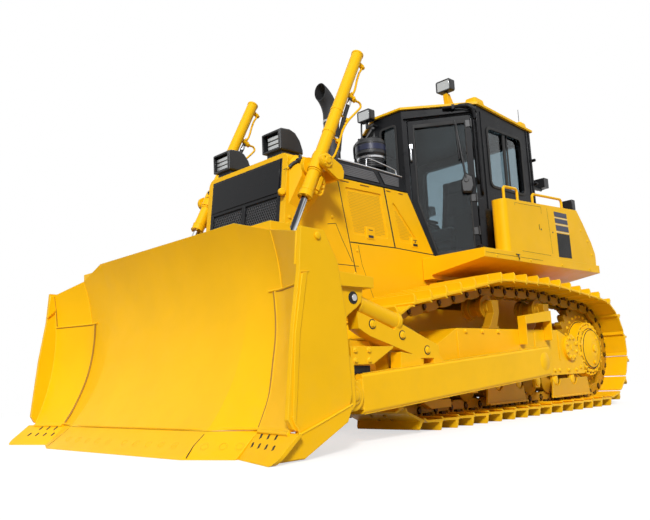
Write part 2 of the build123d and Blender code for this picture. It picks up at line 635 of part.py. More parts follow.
# ---------------------------------------------------------------- decks, boxes and tank
with BuildPart() as fenders:
    with BuildSketch(Plane.XZ.offset(-130)):
        with BuildLine():
            Polyline((786, DECK_Z), (1175, DECK_Z), (1175, 1375), (600, 1290), (600, 1254), (506, 1254),
                     (506, 1394), (786, 1394), close=True)
        make_face()
    extrude(amount=-2200)
    block(506, 786, 130, 474, 1394, DECK_Z)
    mirror(about=Plane.YZ)
save(fenders, "fenders")

BOX_FRONT, BOX_REAR, BOX_X = 513, 1930, 1175
with BuildPart() as side_boxes:
    # tank and locker beside the cab: plan with a rounded front corner, sloped behind
    with BuildSketch(Plane.XY.offset(DECK_Z)) as plan:
        with BuildLine():
            Polyline((1022, BOX_FRONT), (BOX_X, BOX_FRONT), (BOX_X, 2296), (820, 2296), (820, 905),
                     (862, 902), (1022, 780), close=True)
        make_face()
        fillet(plan.vertices().group_by(Axis.Y)[0], 62)
        fillet(plan.vertices().group_by(Axis.Y)[-1].sort_by(Axis.X)[-1], 40)
    extrude(plan.sketch, amount=700)
    plate([(BOX_FRONT, DECK_Z), (BOX_FRONT, 1945), (BOX_REAR, 2012), (2050, 1880), (2200, 1690), (2272, 1560),
           (2296, DECK_Z)], 800, 1200, mode=Mode.INTERSECT)
    mirror(about=Plane.YZ)
save(side_boxes, "side_boxes")


def box_top(y):
    return 1945 + 67 * (y - BOX_FRONT) / (BOX_REAR - BOX_FRONT)


RAIL_R = 13
with BuildPart() as handrails:
    for y0, y1, height in ((630, 870, 132), (1150, 1740, 112)):
        # a bent hoop on the box
        with BuildLine() as hoop:
            FilletPolyline((1110, y0, box_top(y0) + 0.7), (1110, y0, box_top(y0) + height),
                           (1110, y1, box_top(y1) + height), (1110, y1, box_top(y1) + 0.7), radius=34)
        with BuildSketch(Plane(origin=hoop.line @ 0, z_dir=hoop.line % 0)) as section:
            Circle(RAIL_R)
        sweep(section.sketch, path=hoop.line)
    mirror(about=Plane.YZ)
save(handrails, "handrails")

with BuildPart() as fuel_tank:
    plate([(1905, DECK_Z + 2), (1905, 1940), (2330, 1940), (2520, 1700), (2520, 1258), (1905, 1258)],
          -480, 480)
    plate([(1905, DECK_Z + 2), (1905, 1940), (2330, 1940), (2520, 1700), (2520, DECK_Z + 2)],
          -815, 815)
save(fuel_tank, "fuel_tank")

with BuildPart() as drawbar:
    block(-260, 260, 2440, 2480, 480, 1000)
    for z in (520, 640):
        with BuildSketch(Plane.XY.offset(z)):
            with BuildLine():
                Polyline((-150, 2480), (150, 2480), (90, 2745), (-90, 2745), close=True)
            make_face()
            with Locations((0, 2670)):
                Circle(31, mode=Mode.SUBTRACT)
        extrude(amount=45)
    block(-60, 60, 2480, 2560, 565, 640)
save(drawbar, "drawbar")

# ---------------------------------------------------------------- tracks
START_PIN_Y = -713.4


def along_track(idler_y):
    """The pin line as closely spaced points, from the first pin back to itself."""
    def arc(centre, r, a0, a1):
        return [(centre[0] + r * cos(radians(a0 + (a1 - a0) * i / 180)),
                 centre[1] + r * sin(radians(a0 + (a1 - a0) * i / 180))) for i in range(181)]
    foot = SPROCKET[1] - SPROCKET_PIN_R
    idler = (idler_y, foot + IDLER_PIN_R)
    rise = degrees(asin((CARRIER_PIN_Z - SPROCKET[1] - SPROCKET_PIN_R) / (SPROCKET[0] - CARRIERS[1])))
    fall = degrees(asin((CARRIER_PIN_Z - idler[1] - IDLER_PIN_R) / (CARRIERS[0] - idler_y)))
    run = [(START_PIN_Y, foot), *arc(SPROCKET, SPROCKET_PIN_R, -90, 90 - rise),
           (CARRIERS[1], CARRIER_PIN_Z), (CARRIERS[0], CARRIER_PIN_Z),
           *arc(idler, IDLER_PIN_R, 90 + fall, 270), (START_PIN_Y, foot)]
    return run, idler


def place_pins(run):
    """Pins one pitch apart in a straight line, and the length of path left after the last."""
    pins, left, here = [run[0]], 0, run[0]
    for there in run[1:]:
        while len(pins) <= SHOES and hypot(there[0] - pins[-1][0], there[1] - pins[-1][1]) >= PITCH:
            low, high = 0.0, 1.0
            for _ in range(40):
                mid = (low + high) / 2
                spot = (here[0] + (there[0] - here[0]) * mid, here[1] + (there[1] - here[1]) * mid)
                if hypot(spot[0] - pins[-1][0], spot[1] - pins[-1][1]) < PITCH:
                    low = mid
                else:
                    high = mid
            pins.append(spot)
            here = spot
        if len(pins) > SHOES:
            left += hypot(there[0] - here[0], there[1] - here[1])
        here = there
    if len(pins) <= SHOES:
        left = hypot(run[-1][0] - pins[-1][0], run[-1][1] - pins[-1][1]) - PITCH * (SHOES + 1 - len(pins))
    return pins[:SHOES], left


# The idler slides until the chain of whole links closes, as its tensioner does.
near, far = IDLER[0] + 200, IDLER[0] - 200
for _ in range(40):
    idler_y = (near + far) / 2
    if place_pins(along_track(idler_y)[0])[1] > 0:
        far = idler_y
    else:
        near = idler_y
run, idler_centre = along_track(idler_y)
pins = place_pins(run)[0]


def offset_line(points):
    """Points given per link as (along, out) from its first pin, all round the loop."""
    line = []
    for (y0, z0), (y1, z1) in zip(pins, pins[1:] + pins[:1]):
        ty, tz = (y1 - y0) / hypot(y1 - y0, z1 - z0), (z1 - z0) / hypot(y1 - y0, z1 - z0)
        line += [(y0 + ty * a + tz * n, z0 + tz * a - ty * n) for a, n in points]
    return line


def ring(outer, inner, x0, x1):
    with BuildSketch(Plane.YZ.offset(x0)) as face:
        with BuildLine():
            Polyline(*offset_line(outer), close=True)
        make_face()
        with BuildLine():
            Polyline(*offset_line(inner), close=True)
        make_face(mode=Mode.SUBTRACT)
    extrude(face.sketch, amount=x1 - x0)


with BuildPart() as track_left:
    ring([(4, SHOE_OUT), (152, SHOE_OUT), (160, GROUSER_TIP), (174, GROUSER_TIP), (186, SHOE_OUT),
          (199, SHOE_OUT)], [(4, SHOE_IN), (199, SHOE_IN)],
         TRACK_X - SHOE_WIDTH / 2, TRACK_X + SHOE_WIDTH / 2)
    for side in (1, -1):
        ring([(4, SHOE_IN), (199, SHOE_IN)], [(22, RAIL_IN), (181, RAIL_IN)],
             TRACK_X + side * LINK_X[0], TRACK_X + side * LINK_X[1])
save(track_left, "track_left")
with BuildPart() as track_right:
    mirror(track_left.part, about=Plane.YZ)
save(track_right, "track_right")

# ---------------------------------------------------------------- undercarriage
RAIL_Z = SPROCKET[1] - SPROCKET_PIN_R - RAIL_IN
ROLLER_R, FLANGE_R = 100, 120
ROLLERS_Y = [-430 + 335 * i for i in range(7)]
CARRIER_R = 92
TEETH, ROOT_R, TIP_R = 27, 414, 468
RIM_R = 300                # seat of the sprocket rim on the final drive
# the sprocket is turned so that its roots hold the chain's pins
first_bush = min((p for p in pins if p[0] > SPROCKET[0] + 200),
                 key=lambda p: abs(hypot(p[0] - SPROCKET[0], p[1] - SPROCKET[1]) - SPROCKET_PIN_R))
phase = degrees(atan2(first_bush[1] - SPROCKET[1], first_bush[0] - SPROCKET[0]))


def turned(steps, centre):
    """A solid of revolution about X through centre, its outline given as (x, radius)."""
    with BuildSketch(Plane.XY.offset(centre[1])) as half:
        with BuildLine():
            Polyline(*((x, centre[0] + r) for x, r in steps), close=True)
        make_face()
    revolve(half.sketch, axis=Axis((0, *centre), (1, 0, 0)))


with BuildPart() as sprockets:
    outline = []
    for tooth in range(TEETH):
        for turn, r in ((-3.2, TIP_R - 16), (-1.9, ROOT_R), (1.9, ROOT_R), (3.2, TIP_R - 16),
                        (4.6, TIP_R), (8.7, TIP_R)):
            a = radians(phase + tooth * 360 / TEETH + turn)
            outline.append((SPROCKET[0] + r * cos(a), SPROCKET[1] + r * sin(a)))
    plate(outline, TRACK_X - 35, TRACK_X + 35)
    drum(TRACK_X - 35, TRACK_X + 35, SPROCKET, RIM_R + 0.3, mode=Mode.SUBTRACT)
    mirror(about=Plane.YZ)
save(sprockets, "sprockets")

with BuildPart() as final_drives:
    # housing inboard; outboard the rim's seat, a bolted ring and a domed cover
    turned([(441, 0), (441, 230), (600, 230), (640, RIM_R), (TRACK_X + 35, RIM_R), (TRACK_X + 35, 284),
            (1062, 272), (1062, 248), (1078, 244), (1078, 205), (1096, 196), (1122, 80), (1122, 0)],
           SPROCKET)
    mirror(about=Plane.YZ)
save(final_drives, "final_drives")

idler_tread = IDLER_PIN_R * cos(asin(PITCH / 2 / IDLER_PIN_R)) + RAIL_IN - 1
with BuildPart() as idlers:
    turned([(TRACK_X - 150, 0), (TRACK_X - 150, 50), (TRACK_X - 88, 90), (TRACK_X - 88, idler_tread),
            (TRACK_X - 40, idler_tread), (TRACK_X - 40, idler_tread + 22), (TRACK_X + 40, idler_tread + 22),
            (TRACK_X + 40, idler_tread), (TRACK_X + 88, idler_tread), (TRACK_X + 88, 90), (TRACK_X + 150, 50),
            (TRACK_X + 150, 0)], idler_centre)
    mirror(about=Plane.YZ)
save(idlers, "idlers")

with BuildPart() as track_rollers:
    # flanged outside each rail, with the shaft's end collar outboard
    for y in ROLLERS_Y:
        turned([(TRACK_X - 96, 0), (TRACK_X - 96, FLANGE_R), (TRACK_X - 84, ROLLER_R),
                (TRACK_X + 84, ROLLER_R), (TRACK_X + 96, FLANGE_R), (TRACK_X + 149, 46),
                (TRACK_X + 149, 0)], (y, RAIL_Z + ROLLER_R + 0.5))
    mirror(about=Plane.YZ)
save(track_rollers, "track_rollers")

CARRIER_Z = CARRIER_PIN_Z + RAIL_IN - CARRIER_R - 10
FRAME_TOP, FRAME_X = 762, 1130
POST_X = (1054, FRAME_X)
with BuildPart() as carrier_rollers:
    for y in CARRIERS:
        # treads under both rails, flanges outside them, a waist between and a stepped seal
        turned([(TRACK_X - 100, 0), (TRACK_X - 100, 104), (TRACK_X - 88, 104), (TRACK_X - 84, CARRIER_R),
                (TRACK_X - 44, CARRIER_R), (TRACK_X - 36, 70), (TRACK_X + 36, 70), (TRACK_X + 44, CARRIER_R),
                (TRACK_X + 84, CARRIER_R), (TRACK_X + 88, 104), (TRACK_X + 100, 104),
                (TRACK_X + 104, 66), (POST_X[0] + 20, 60), (POST_X[0] + 20, 0)], (y, CARRIER_Z))
        # bent post that clamps the roller's shaft, on a foot
        plate([(y - 128, FRAME_TOP), (y - 128, FRAME_TOP + 22), (y - 110, FRAME_TOP + 22), (y - 38, 898),
               (y - 60, 1004), (y + 46, 1008), (y + 44, 898), (y - 2, FRAME_TOP + 22),
               (y + 22, FRAME_TOP + 22), (y + 22, FRAME_TOP)], *POST_X)
    mirror(about=Plane.YZ)
save(carrier_rollers, "carrier_rollers")

HANGER_Z = 236
with BuildPart() as track_frames:
    plate([(-560, 420), (-560, 640), (-300, FRAME_TOP - 2), (1348, FRAME_TOP - 2), (1514, 700), (1634, 640),
           (1634, 420)], 760, FRAME_X)
    # the outer cheek reaches down over the last rollers and back past the sprocket
    plate([(1144, 425), (1144, 335), (1835, 335), (1835, 420), (1720, 640), (1514, 700), (1348, 712)],
          1092, FRAME_X)
    drum(1000, 1200, SPROCKET, RIM_R + 4, mode=Mode.SUBTRACT)
    # idler yoke
    for x in (762, 1092):
        with BuildSketch(Plane.YZ.offset(x)) as fork:
            with BuildLine():
                Polyline((idler_centre[0], 426), (idler_centre[0], 574), (-560, 640), (-560, 420), close=True)
            make_face()
            with Locations(idler_centre):
                Circle(74)
        extrude(fork.sketch, amount=28)
    # hangers for the track rollers
    for y in ROLLERS_Y:
        plate([(y - 62, 422), (y - 40, HANGER_Z), (y + 40, HANGER_Z), (y + 62, 422)],
              TRACK_X + 150, TRACK_X + 176)
    drum(700, 1200, PIVOT, PIVOT_R + 0.5, mode=Mode.SUBTRACT)
    mirror(about=Plane.YZ)
save(track_frames, "track_frames")

with BuildPart() as roller_guards:
    # short guards with arched tops over the rollers behind them, and a bent one behind the idler
    for y0, y1, arches in ((45, 660, (240, 575)), (1140, 1900, (1245, 1580))):
        with BuildSketch(Plane.YZ.offset(1118)) as guard:
            with BuildLine():
                Polyline((y0, 128), (y0 + 34, 300), (y1 - 34, 300), (y1, 128), close=True)
            make_face()
            with Locations(*((y, 308) for y in arches)):
                Circle(72, mode=Mode.SUBTRACT)
        extrude(guard.sketch, amount=16)
        plate([(y0 + 6, 128), (y0 + 9, 142), (y1 - 9, 142), (y1 - 6, 128)], 1134, 1160)
    plate([(-820, 250), (-786, 196), (-700, 150), (-454, 150), (-454, 208), (-620, 212), (-690, 250)],
          1092, 1134)
    mirror(about=Plane.YZ)
save(roller_guards, "roller_guards")

with BuildPart() as steps:
    # a bent step on legs: tread, front lip and two side plates
    plate([(637, 864), (637, 876), (1102, 932), (1102, 920)], FRAME_X + 1, 1212)
    plate([(637, 802), (637, 876), (1102, 932), (1102, 838)], 1200, 1212)
    for y, low, high in ((637, 622, 868), (1090, 660, 924)):
        block(FRAME_X + 1, 1212, y, y + 12, low, high)
    mirror(about=Plane.YZ)
save(steps, "steps")
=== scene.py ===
from math import asin, atan2, cos, pi, radians, sin

import bmesh
import bpy
from mathutils import Euler, Matrix, Vector
from mathutils.bvhtree import BVHTree


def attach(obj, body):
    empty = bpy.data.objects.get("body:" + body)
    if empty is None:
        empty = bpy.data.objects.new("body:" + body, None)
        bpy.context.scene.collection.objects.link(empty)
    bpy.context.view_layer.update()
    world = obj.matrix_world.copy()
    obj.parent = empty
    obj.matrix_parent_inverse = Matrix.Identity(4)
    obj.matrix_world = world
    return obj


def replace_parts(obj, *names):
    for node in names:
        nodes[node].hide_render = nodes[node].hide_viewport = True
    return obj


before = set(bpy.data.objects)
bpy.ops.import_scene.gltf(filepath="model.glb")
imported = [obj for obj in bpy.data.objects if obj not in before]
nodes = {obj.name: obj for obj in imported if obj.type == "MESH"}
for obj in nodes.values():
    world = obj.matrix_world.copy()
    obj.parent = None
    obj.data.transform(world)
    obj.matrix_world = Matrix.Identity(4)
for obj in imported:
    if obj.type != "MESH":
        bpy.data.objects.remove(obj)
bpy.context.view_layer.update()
scene = bpy.context.scene

# -------- camera
# A long lens stands low in front of the machine's left corner, level with the blade,
# so that the blade looms and the cab stands up behind it.


def put(name, data):
    """An object made of this data, in the scene."""
    made = bpy.data.objects.new(name, data)
    scene.collection.objects.link(made)
    return made


lens = bpy.data.cameras.new("viewpoint")
lens.sensor_width, lens.lens = 36, 39.176
lens.shift_x, lens.shift_y = -0.00832, 0.00088
viewpoint = put("viewpoint", lens)
viewpoint.location = (4.46041, -5.02094, 0.42710)
viewpoint.rotation_euler = [radians(a) for a in (99.293, 2.793, 45.468)]
scene.camera = viewpoint

# -------- studio floor and light
# A pale studio floor runs out to a white surround. It keeps the soft shadow under the
# machine. One broad sun from the machine's left front stands for the big softbox.
scene.view_settings.view_transform = "Standard"
WHITE, FLOOR_GREY = (1, 1, 1, 1), (0.42, 0.42, 0.42, 1)
SKY_LEVEL, FLOOR_LIFT, FADE_FROM, FADE_TO, FLOOR_HALF = 0.36, 0.66, 4.2, 9.0, 40


def add(tree, kind, *inputs, take=0, **values):
    """A node: its inputs in order (None leaves one alone), then by name. Gives the output to take."""
    made = tree.nodes.new(kind if "Node" in kind else "ShaderNode" + kind)
    given = [(made.inputs[i], value) for i, value in enumerate(inputs) if value is not None]
    for key, value in values.items():
        socket = made.inputs.get(key.replace("_", " "))
        if socket is None:
            setattr(made, key, value)
        else:
            given.append((socket, value))
    for socket, value in given:
        if isinstance(value, bpy.types.NodeSocket):
            tree.links.new(value, socket)
        else:
            socket.default_value = value
    return made.outputs[take] if len(made.outputs) else made


def spread(tree, value, low, high, start=0.3, end=0.7):
    """A value that runs from start to end, spread over low to high."""
    return add(tree, "MapRange", Value=value, From_Min=start, From_Max=end, To_Min=low, To_Max=high)


def new_finish(name):
    """An empty node material, and its tree."""
    material = bpy.data.materials.new(name)
    material.use_nodes = True
    material.node_tree.nodes.clear()
    return material, material.node_tree


def surfaced(material, tree, **values):
    """The material, with a shader of these values for its surface."""
    add(tree, "OutputMaterial", add(tree, "BsdfPrincipled", **values))
    return material


def seen_directly(tree):
    """1 for what the camera sees, itself or in gloss or through glass."""
    ray = tree.nodes.new("ShaderNodeLightPath").outputs
    first = add(tree, "Math", ray["Is Camera Ray"], ray["Is Glossy Ray"], operation="MAXIMUM")
    return add(tree, "Math", first, ray["Is Transmission Ray"], operation="MAXIMUM")


scene.world = bpy.data.worlds.new("surround")
scene.world.use_nodes = True
tree = scene.world.node_tree
tree.nodes.clear()
lit, white = (add(tree, "Background", WHITE, level) for level in (SKY_LEVEL, 1.0))
add(tree, "OutputWorld", add(tree, "MixShader", seen_directly(tree), lit, white))

floor_finish, tree = new_finish("studio_floor")
place = add(tree, "TexCoord", take="Object")
reach = add(tree, "VectorMath", place, operation="LENGTH", take="Value")
weak = add(tree, "Math", seen_directly(tree), FLOOR_LIFT, operation="MULTIPLY")
near = add(tree, "AddShader", add(tree, "BsdfDiffuse", FLOOR_GREY),
           add(tree, "Emission", WHITE, weak))
far = add(tree, "Emission", WHITE, seen_directly(tree))
whole = add(tree, "MixShader", spread(tree, reach, 0, 1, FADE_FROM, FADE_TO), near, far)
add(tree, "OutputMaterial", whole)

sheet = bpy.data.meshes.new("studio_floor")
sheet.from_pydata([(x * FLOOR_HALF, y * FLOOR_HALF, 0) for x, y in ((-1, -1), (1, -1), (1, 1), (-1, 1))],
                  [], [(0, 1, 2, 3)])
sheet.materials.append(floor_finish)
put("studio_floor", sheet)

for name, energy, angle, stands_at in (("softbox", 2.9, 12, (4.5, -4.6, 3.9)), ("fill", 0.3, 60, (1.0, -2.0, 6.0))):
    lamp = bpy.data.lights.new(name, "SUN")
    lamp.energy, lamp.angle = energy, radians(angle)
    put(name, lamp).rotation_euler = Vector(stands_at).to_track_quat("Z", "Y").to_euler()

# -------- main frame and the yellow enamel
# Steelwork is sprayed with warm yellow two-coat enamel. It lies thin along the edges of plates,
# which are lighter there, partly from the thin paint and partly as a painted highlight;
# it has a faint orange-peel skin and gathers a little dust near the ground.
YELLOW, THIN_HIGHLIT_YELLOW, DUST = (0.96, 0.525, 0.003), (1.0, 0.69, 0.04), (0.55, 0.36, 0.13)
SHINE = 0.13


def blend(tree, amount, under, over, how="MIX"):
    """One colour laid over another by this amount, or multiplied by it."""
    return add(tree, "Mix", amount, *[None] * 5, under, over, data_type="RGBA", blend_type=how, take=2)


def noise(tree, place, scale, detail=2.0, roughness=0.5):
    return add(tree, "TexNoise", Vector=place, Scale=scale, Detail=detail, Roughness=roughness)


def enamel(name, colour, edge_colour, rough=0.42, dust=0.10):
    """Sprayed paint: colour drifts a little, edges are lighter as thin paint and as a painted highlight, dust lies low
    down.
    """
    material, tree = new_finish(name)
    place = add(tree, "TexCoord", take="Object")
    base = blend(tree, 1.0, (*colour, 1), spread(tree, noise(tree, place, 1.7, 4.0, 0.55), 0.93, 1.03), "MULTIPLY")
    # how far the rounded-off normal leaves the true one shows where a plate's edge is
    rounded = add(tree, "Bevel", samples=4, Radius=0.006)
    true = add(tree, "NewGeometry", take="Normal")
    agree = add(tree, "VectorMath", rounded, true, operation="DOT_PRODUCT", take="Value")
    # edges take a lighter colour: partly thin paint, partly a painted highlight
    thin_and_highlit = blend(tree, spread(tree, agree, 0.0, 0.75, 0.985, 0.86), base, (*edge_colour, 1))
    height = add(tree, "SeparateXYZ", place, take="Z")
    cloud = noise(tree, place, 9.0, 6.0, 0.6)
    cover = add(tree, "Math", spread(tree, height, 0.0, dust, 0.75, 0.05),
                spread(tree, cloud, 0.0, 1.0, 0.45, 0.75), operation="MULTIPLY")
    peel = add(tree, "Bump", Strength=0.12, Distance=0.0012, Height=noise(tree, place, 140.0), Normal=rounded)
    return surfaced(material, tree, Base_Color=blend(tree, cover, thin_and_highlit, (*DUST, 1)),
                    Roughness=spread(tree, cloud, rough - 0.05, rough + 0.08), Normal=peel, Specular_IOR_Level=SHINE,
                    Coat_Weight=0.05, Coat_Roughness=0.2)


def dress(finish, *names):
    """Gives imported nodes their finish."""
    for name in names:
        nodes[name].data.materials.clear()
        nodes[name].data.materials.append(finish)


yellow = enamel("yellow_enamel", YELLOW, THIN_HIGHLIT_YELLOW)
black = enamel("black_enamel", (0.006, 0.0065, 0.008), (0.03, 0.03, 0.034), rough=0.30, dust=0.0)
dress(yellow, *nodes)

# -------- track frames and pivot covers
# Welded box frames carry the rollers. Covers, shaft caps and brackets are held by hex
# bolts, so every bolt head on the machine is forged here once and fitted from a list.
MM, UP, BACK = 0.001, (0, 0, 1), (0, 1, 0)


def smooth_line(name, points, radius, steps, roundness):
    """A round line of this radius, drawn through control points, as a curve."""
    line = bpy.data.curves.new(name, "CURVE")
    line.dimensions = "3D"
    line.resolution_u, line.bevel_depth, line.bevel_resolution = steps, radius, roundness
    line.use_fill_caps = True
    run = line.splines.new("NURBS")
    run.points.add(len(points) - 1)
    for knot, p in zip(run.points, points):
        knot.co = (*p, 1)
    run.order_u = 3
    run.use_endpoint_u = True
    return line


def settled(thing):
    """A plain mesh of an object as its curve or modifiers leave it."""
    return bpy.data.meshes.new_from_object(thing.evaluated_get(bpy.context.evaluated_depsgraph_get()))


def oblong(a0, b0, a1, b1):
    """The four corners of an upright rectangle."""
    return [(a0, b0), (a1, b0), (a1, b1), (a0, b1)]


class Piece:
    """One piece in the making: closed shapes gathered in millimetres."""

    def __init__(self):
        self.mesh = bmesh.new()

    def skin(self, rings, closed=False):
        """Walls through rings of points. The ends are capped, or the last ring meets the first."""
        rows = [[self.mesh.verts.new(Vector(p)) for p in ring] for ring in rings]
        for a, b in list(zip(rows, rows[1:])) + ([(rows[-1], rows[0])] if closed else []):
            for i in range(len(a)):
                self.mesh.faces.new((a[i - 1], a[i], b[i], b[i - 1]))
        if not closed:
            self.mesh.faces.new(rows[0])
            self.mesh.faces.new(rows[-1])
        return self

    def plate(self, outline, low, high):
        """A flat plate across X: its outline as (y, z), and where it starts and ends."""
        return self.skin([[(x, *p) for p in outline] for x in (low, high)])

    def block(self, low, high):
        return self.plate(oblong(*low[1:], *high[1:]), low[0], high[0])

    def turned(self, steps, centre, axis=(1, 0, 0), sides=24):
        """A solid of revolution: steps are (along, radius) from the centre, closed flat at both ends."""
        axis = Vector(axis).normalized()
        across = axis.orthogonal().normalized()
        other = axis.cross(across)
        return self.skin([[Vector(centre) + axis * along + r * (across * cos(a) + other * sin(a))
                           for a in (2 * pi * i / sides for i in range(sides))] for along, r in steps])

    def bar(self, start, end, radius, sides=12):
        run = Vector(end) - Vector(start)
        return self.turned([(0, radius), (run.length, radius)], start, run, sides)

    def pipe(self, points, radius, sides=10):
        """A pipe drawn through control points on one smooth line."""
        holder = put("pipe", smooth_line("pipe", points, radius, 5, max(1, sides // 2 - 1)))
        self.mesh.from_mesh(settled(holder))
        bpy.data.objects.remove(holder)
        return self

    def seam(self, points, out, width):
        """A narrow dark gap between plates: thin strips along the points, proud of them by a hair."""
        out = Vector(out).normalized()
        for a, b in zip(map(Vector, points), map(Vector, points[1:])):
            side = (b - a).normalized().cross(out) * width / 2
            self.skin([[p + out * proud for p in (a - side, b - side, b + side, a + side)] for proud in (-0.7, 0.7)])
        return self

    def side_seam(self, x, points, width):
        """A seam on a face across X, its points as (y, z)."""
        return self.seam([(x, *p) for p in points], (1, 0, 0), width)

    def both_sides(self):
        """The same again on the machine's other side."""
        twin = bmesh.ops.duplicate(self.mesh, geom=self.mesh.verts[:] + self.mesh.edges[:] + self.mesh.faces[:])
        for item in twin["geom"]:
            if isinstance(item, bmesh.types.BMVert):
                item.co.x = -item.co.x
        return self

    def on_side(self, side):
        """A piece made for the left, moved over to this side: 1 is left and -1 is right."""
        for vertex in self.mesh.verts:
            vertex.co.x *= side
        return self

    def to_mesh(self, name, finish):
        mesh = bpy.data.meshes.new(name)
        self.mesh.normal_update()
        bmesh.ops.recalc_face_normals(self.mesh, faces=self.mesh.faces)
        self.mesh.to_mesh(mesh)
        self.mesh.free()
        mesh.transform(Matrix.Scale(MM, 4))
        mesh.polygons.foreach_set("use_smooth", [True] * len(mesh.polygons))
        mesh.set_sharp_from_angle(angle=radians(32))
        mesh.materials.append(finish)
        return mesh

    def fit(self, name, body="root", finish=yellow, slot="yellow", edge=2.5, steps=2):
        """Finishes the piece with rounded edges and fixes it to its body."""
        return fix(put(name, self.to_mesh(name, finish)), body, edge, steps)


def fix(piece, body, edge=0, steps=2):
    """Rounds a piece's edges by this many millimetres and fixes it to its body."""
    if edge:
        rounding = piece.modifiers.new("rounded_edges", "BEVEL")
        rounding.width, rounding.segments = edge * MM, steps
        rounding.limit_method, rounding.angle_limit = "ANGLE", radians(38)
        rounding.miter_outer = "MITER_ARC"
    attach(piece, body)
    return piece


def fitting_tree():
    """Puts one part at every place of a list: turned, sized, made real and given its finish."""
    tree = bpy.data.node_groups.new("fit_parts", "GeometryNodeTree")
    for label, kind in (("Places", "Geometry"), ("Part", "Object"), ("Part size", "Float"), ("Finish", "Material")):
        tree.interface.new_socket(name=label, in_out="INPUT", socket_type="NodeSocket" + kind)
    tree.interface.new_socket(name="Fitted", in_out="OUTPUT", socket_type="NodeSocketGeometry")
    given = tree.nodes.new("NodeGroupInput").outputs
    part = add(tree, "GeometryNodeObjectInfo", Object=given["Part"], take="Geometry")
    turn, own = (add(tree, "GeometryNodeInputNamedAttribute", data_type=kind, Name=label)
                 for kind, label in (("FLOAT_VECTOR", "turn"), ("FLOAT", "size")))
    each = add(tree, "GeometryNodeInstanceOnPoints", Points=given["Places"], Instance=part,
               Rotation=add(tree, "FunctionNodeEulerToRotation", turn),
               Scale=add(tree, "Math", own, given["Part size"], operation="MULTIPLY"))
    real = add(tree, "GeometryNodeRealizeInstances", each)
    add(tree, "NodeGroupOutput", Fitted=add(tree, "GeometryNodeSetMaterial", Geometry=real, Material=given["Finish"]))
    return tree


FITTING = fitting_tree()


def facing(direction):
    """The turn that points a part's Z along a direction, with its Y as near up as it can be."""
    z = Vector(direction).normalized()
    x = Vector(UP).cross(z)
    x = x.normalized() if x.length > 0.01 else Vector((1, 0, 0))
    return Matrix((x, z.cross(x), z)).transposed().to_euler()


def fit_row(name, part, places, body="root", finish=yellow):
    """Fits a part at every place: (point, the direction it faces or its Euler turn, and a size if it isn't 1)."""
    spots = bpy.data.meshes.new(name)
    spots.from_pydata([Vector(p[0]) * MM for p in places], [], [])
    turns = [p[1] if isinstance(p[1], Euler) else facing(p[1]) for p in places]
    spots.attributes.new("turn", "FLOAT_VECTOR", "POINT").data.foreach_set("vector", [a for t in turns for a in t])
    spots.attributes.new("size", "FLOAT", "POINT").data.foreach_set("value", [(*p, 1.0)[2] for p in places])
    holder, pattern = put(name + "_places", spots), put(name + "_part", part.to_mesh(name + "_part", finish))
    modifier = holder.modifiers.new("fit_parts", "NODES")
    modifier.node_group = FITTING
    inputs = {s.name: s.identifier for s in FITTING.interface.items_tree if s.in_out == "INPUT"}
    for label, value in (("Part", pattern), ("Part size", 1.0), ("Finish", finish)):
        modifier[inputs[label]] = value
    mesh = settled(holder)
    mesh.name = name
    for item in (holder, pattern):
        bpy.data.objects.remove(item)
    return fix(put(name, mesh), body)


def hex_head(across=30, tall=14):
    """A hex bolt head on its washer, standing on z = 0, with a chamfered top."""
    r = across / 2 / cos(pi / 6)
    head = Piece().turned([(-1, r * 1.25), (tall * 0.22, r * 1.25)], (0, 0, 0), UP, 12)
    return head.turned([(0, r), (tall * 0.85, r), (tall, r * 0.86)], (0, 0, 0), UP, 6)


def sided(places, side):
    """Places given for the left, as they lie on this side: 1 is left and -1 is right."""
    return [((side * p[0], *p[1:]), (side * way[0], *way[1:]), *size) for p, way, *size in places]


def mirrored(places):
    """The places on both sides of the machine."""
    return places + sided(places, -1)


def outside(x, spots, size=1.0):
    """Places on an outer face across X, from their (y, z), on both sides of the machine."""
    return mirrored([((x, *spot), (1, 0, 0), size) for spot in spots])


def ring_of(centre, radius, count, x, start=0.0, size=1.0):
    """Places round a circle on an outer face, on both sides of the machine."""
    turns = [radians(start + 360 * i / count) for i in range(count)]
    return outside(x, [(centre[0] + radius * cos(a), centre[1] + radius * sin(a)) for a in turns], size)


PIVOT, IDLER, FRAME_FACE, HANGER_FACE, FORK_FACE = (1560, 590), (-885.2, 500.0), 1130, 1116, 1120
ROLLER_Z, ROLLERS = 288.5, [-430 + 335 * i for i in range(7)]
# rollers, sprockets and chain are the same yellow, darkened partly by a film of oil and soil and partly as painted
# shade
oiled_and_shaded = enamel("shaded_oiled_yellow", (0.46, 0.225, 0.004), (0.92, 0.55, 0.02), rough=0.5, dust=0.3)
dress(oiled_and_shaded, "track_rollers", "carrier_rollers", "sprockets", "idlers", "equalizer_bar")
dress(enamel("shaded_yellow", (0.72, 0.37, 0.004), THIN_HIGHLIT_YELLOW, dust=0.2), "roller_guards")
caps = Piece()
for y in ROLLERS:
    caps.turned([(0, 42), (9, 42), (14, 30)], (HANGER_FACE, y, ROLLER_Z), sides=20)
caps.turned([(0, 62), (16, 62), (24, 50)], (FORK_FACE, *IDLER), sides=28)
caps.turned([(0, 30), (8, 26)], (1156, *PIVOT), sides=20)
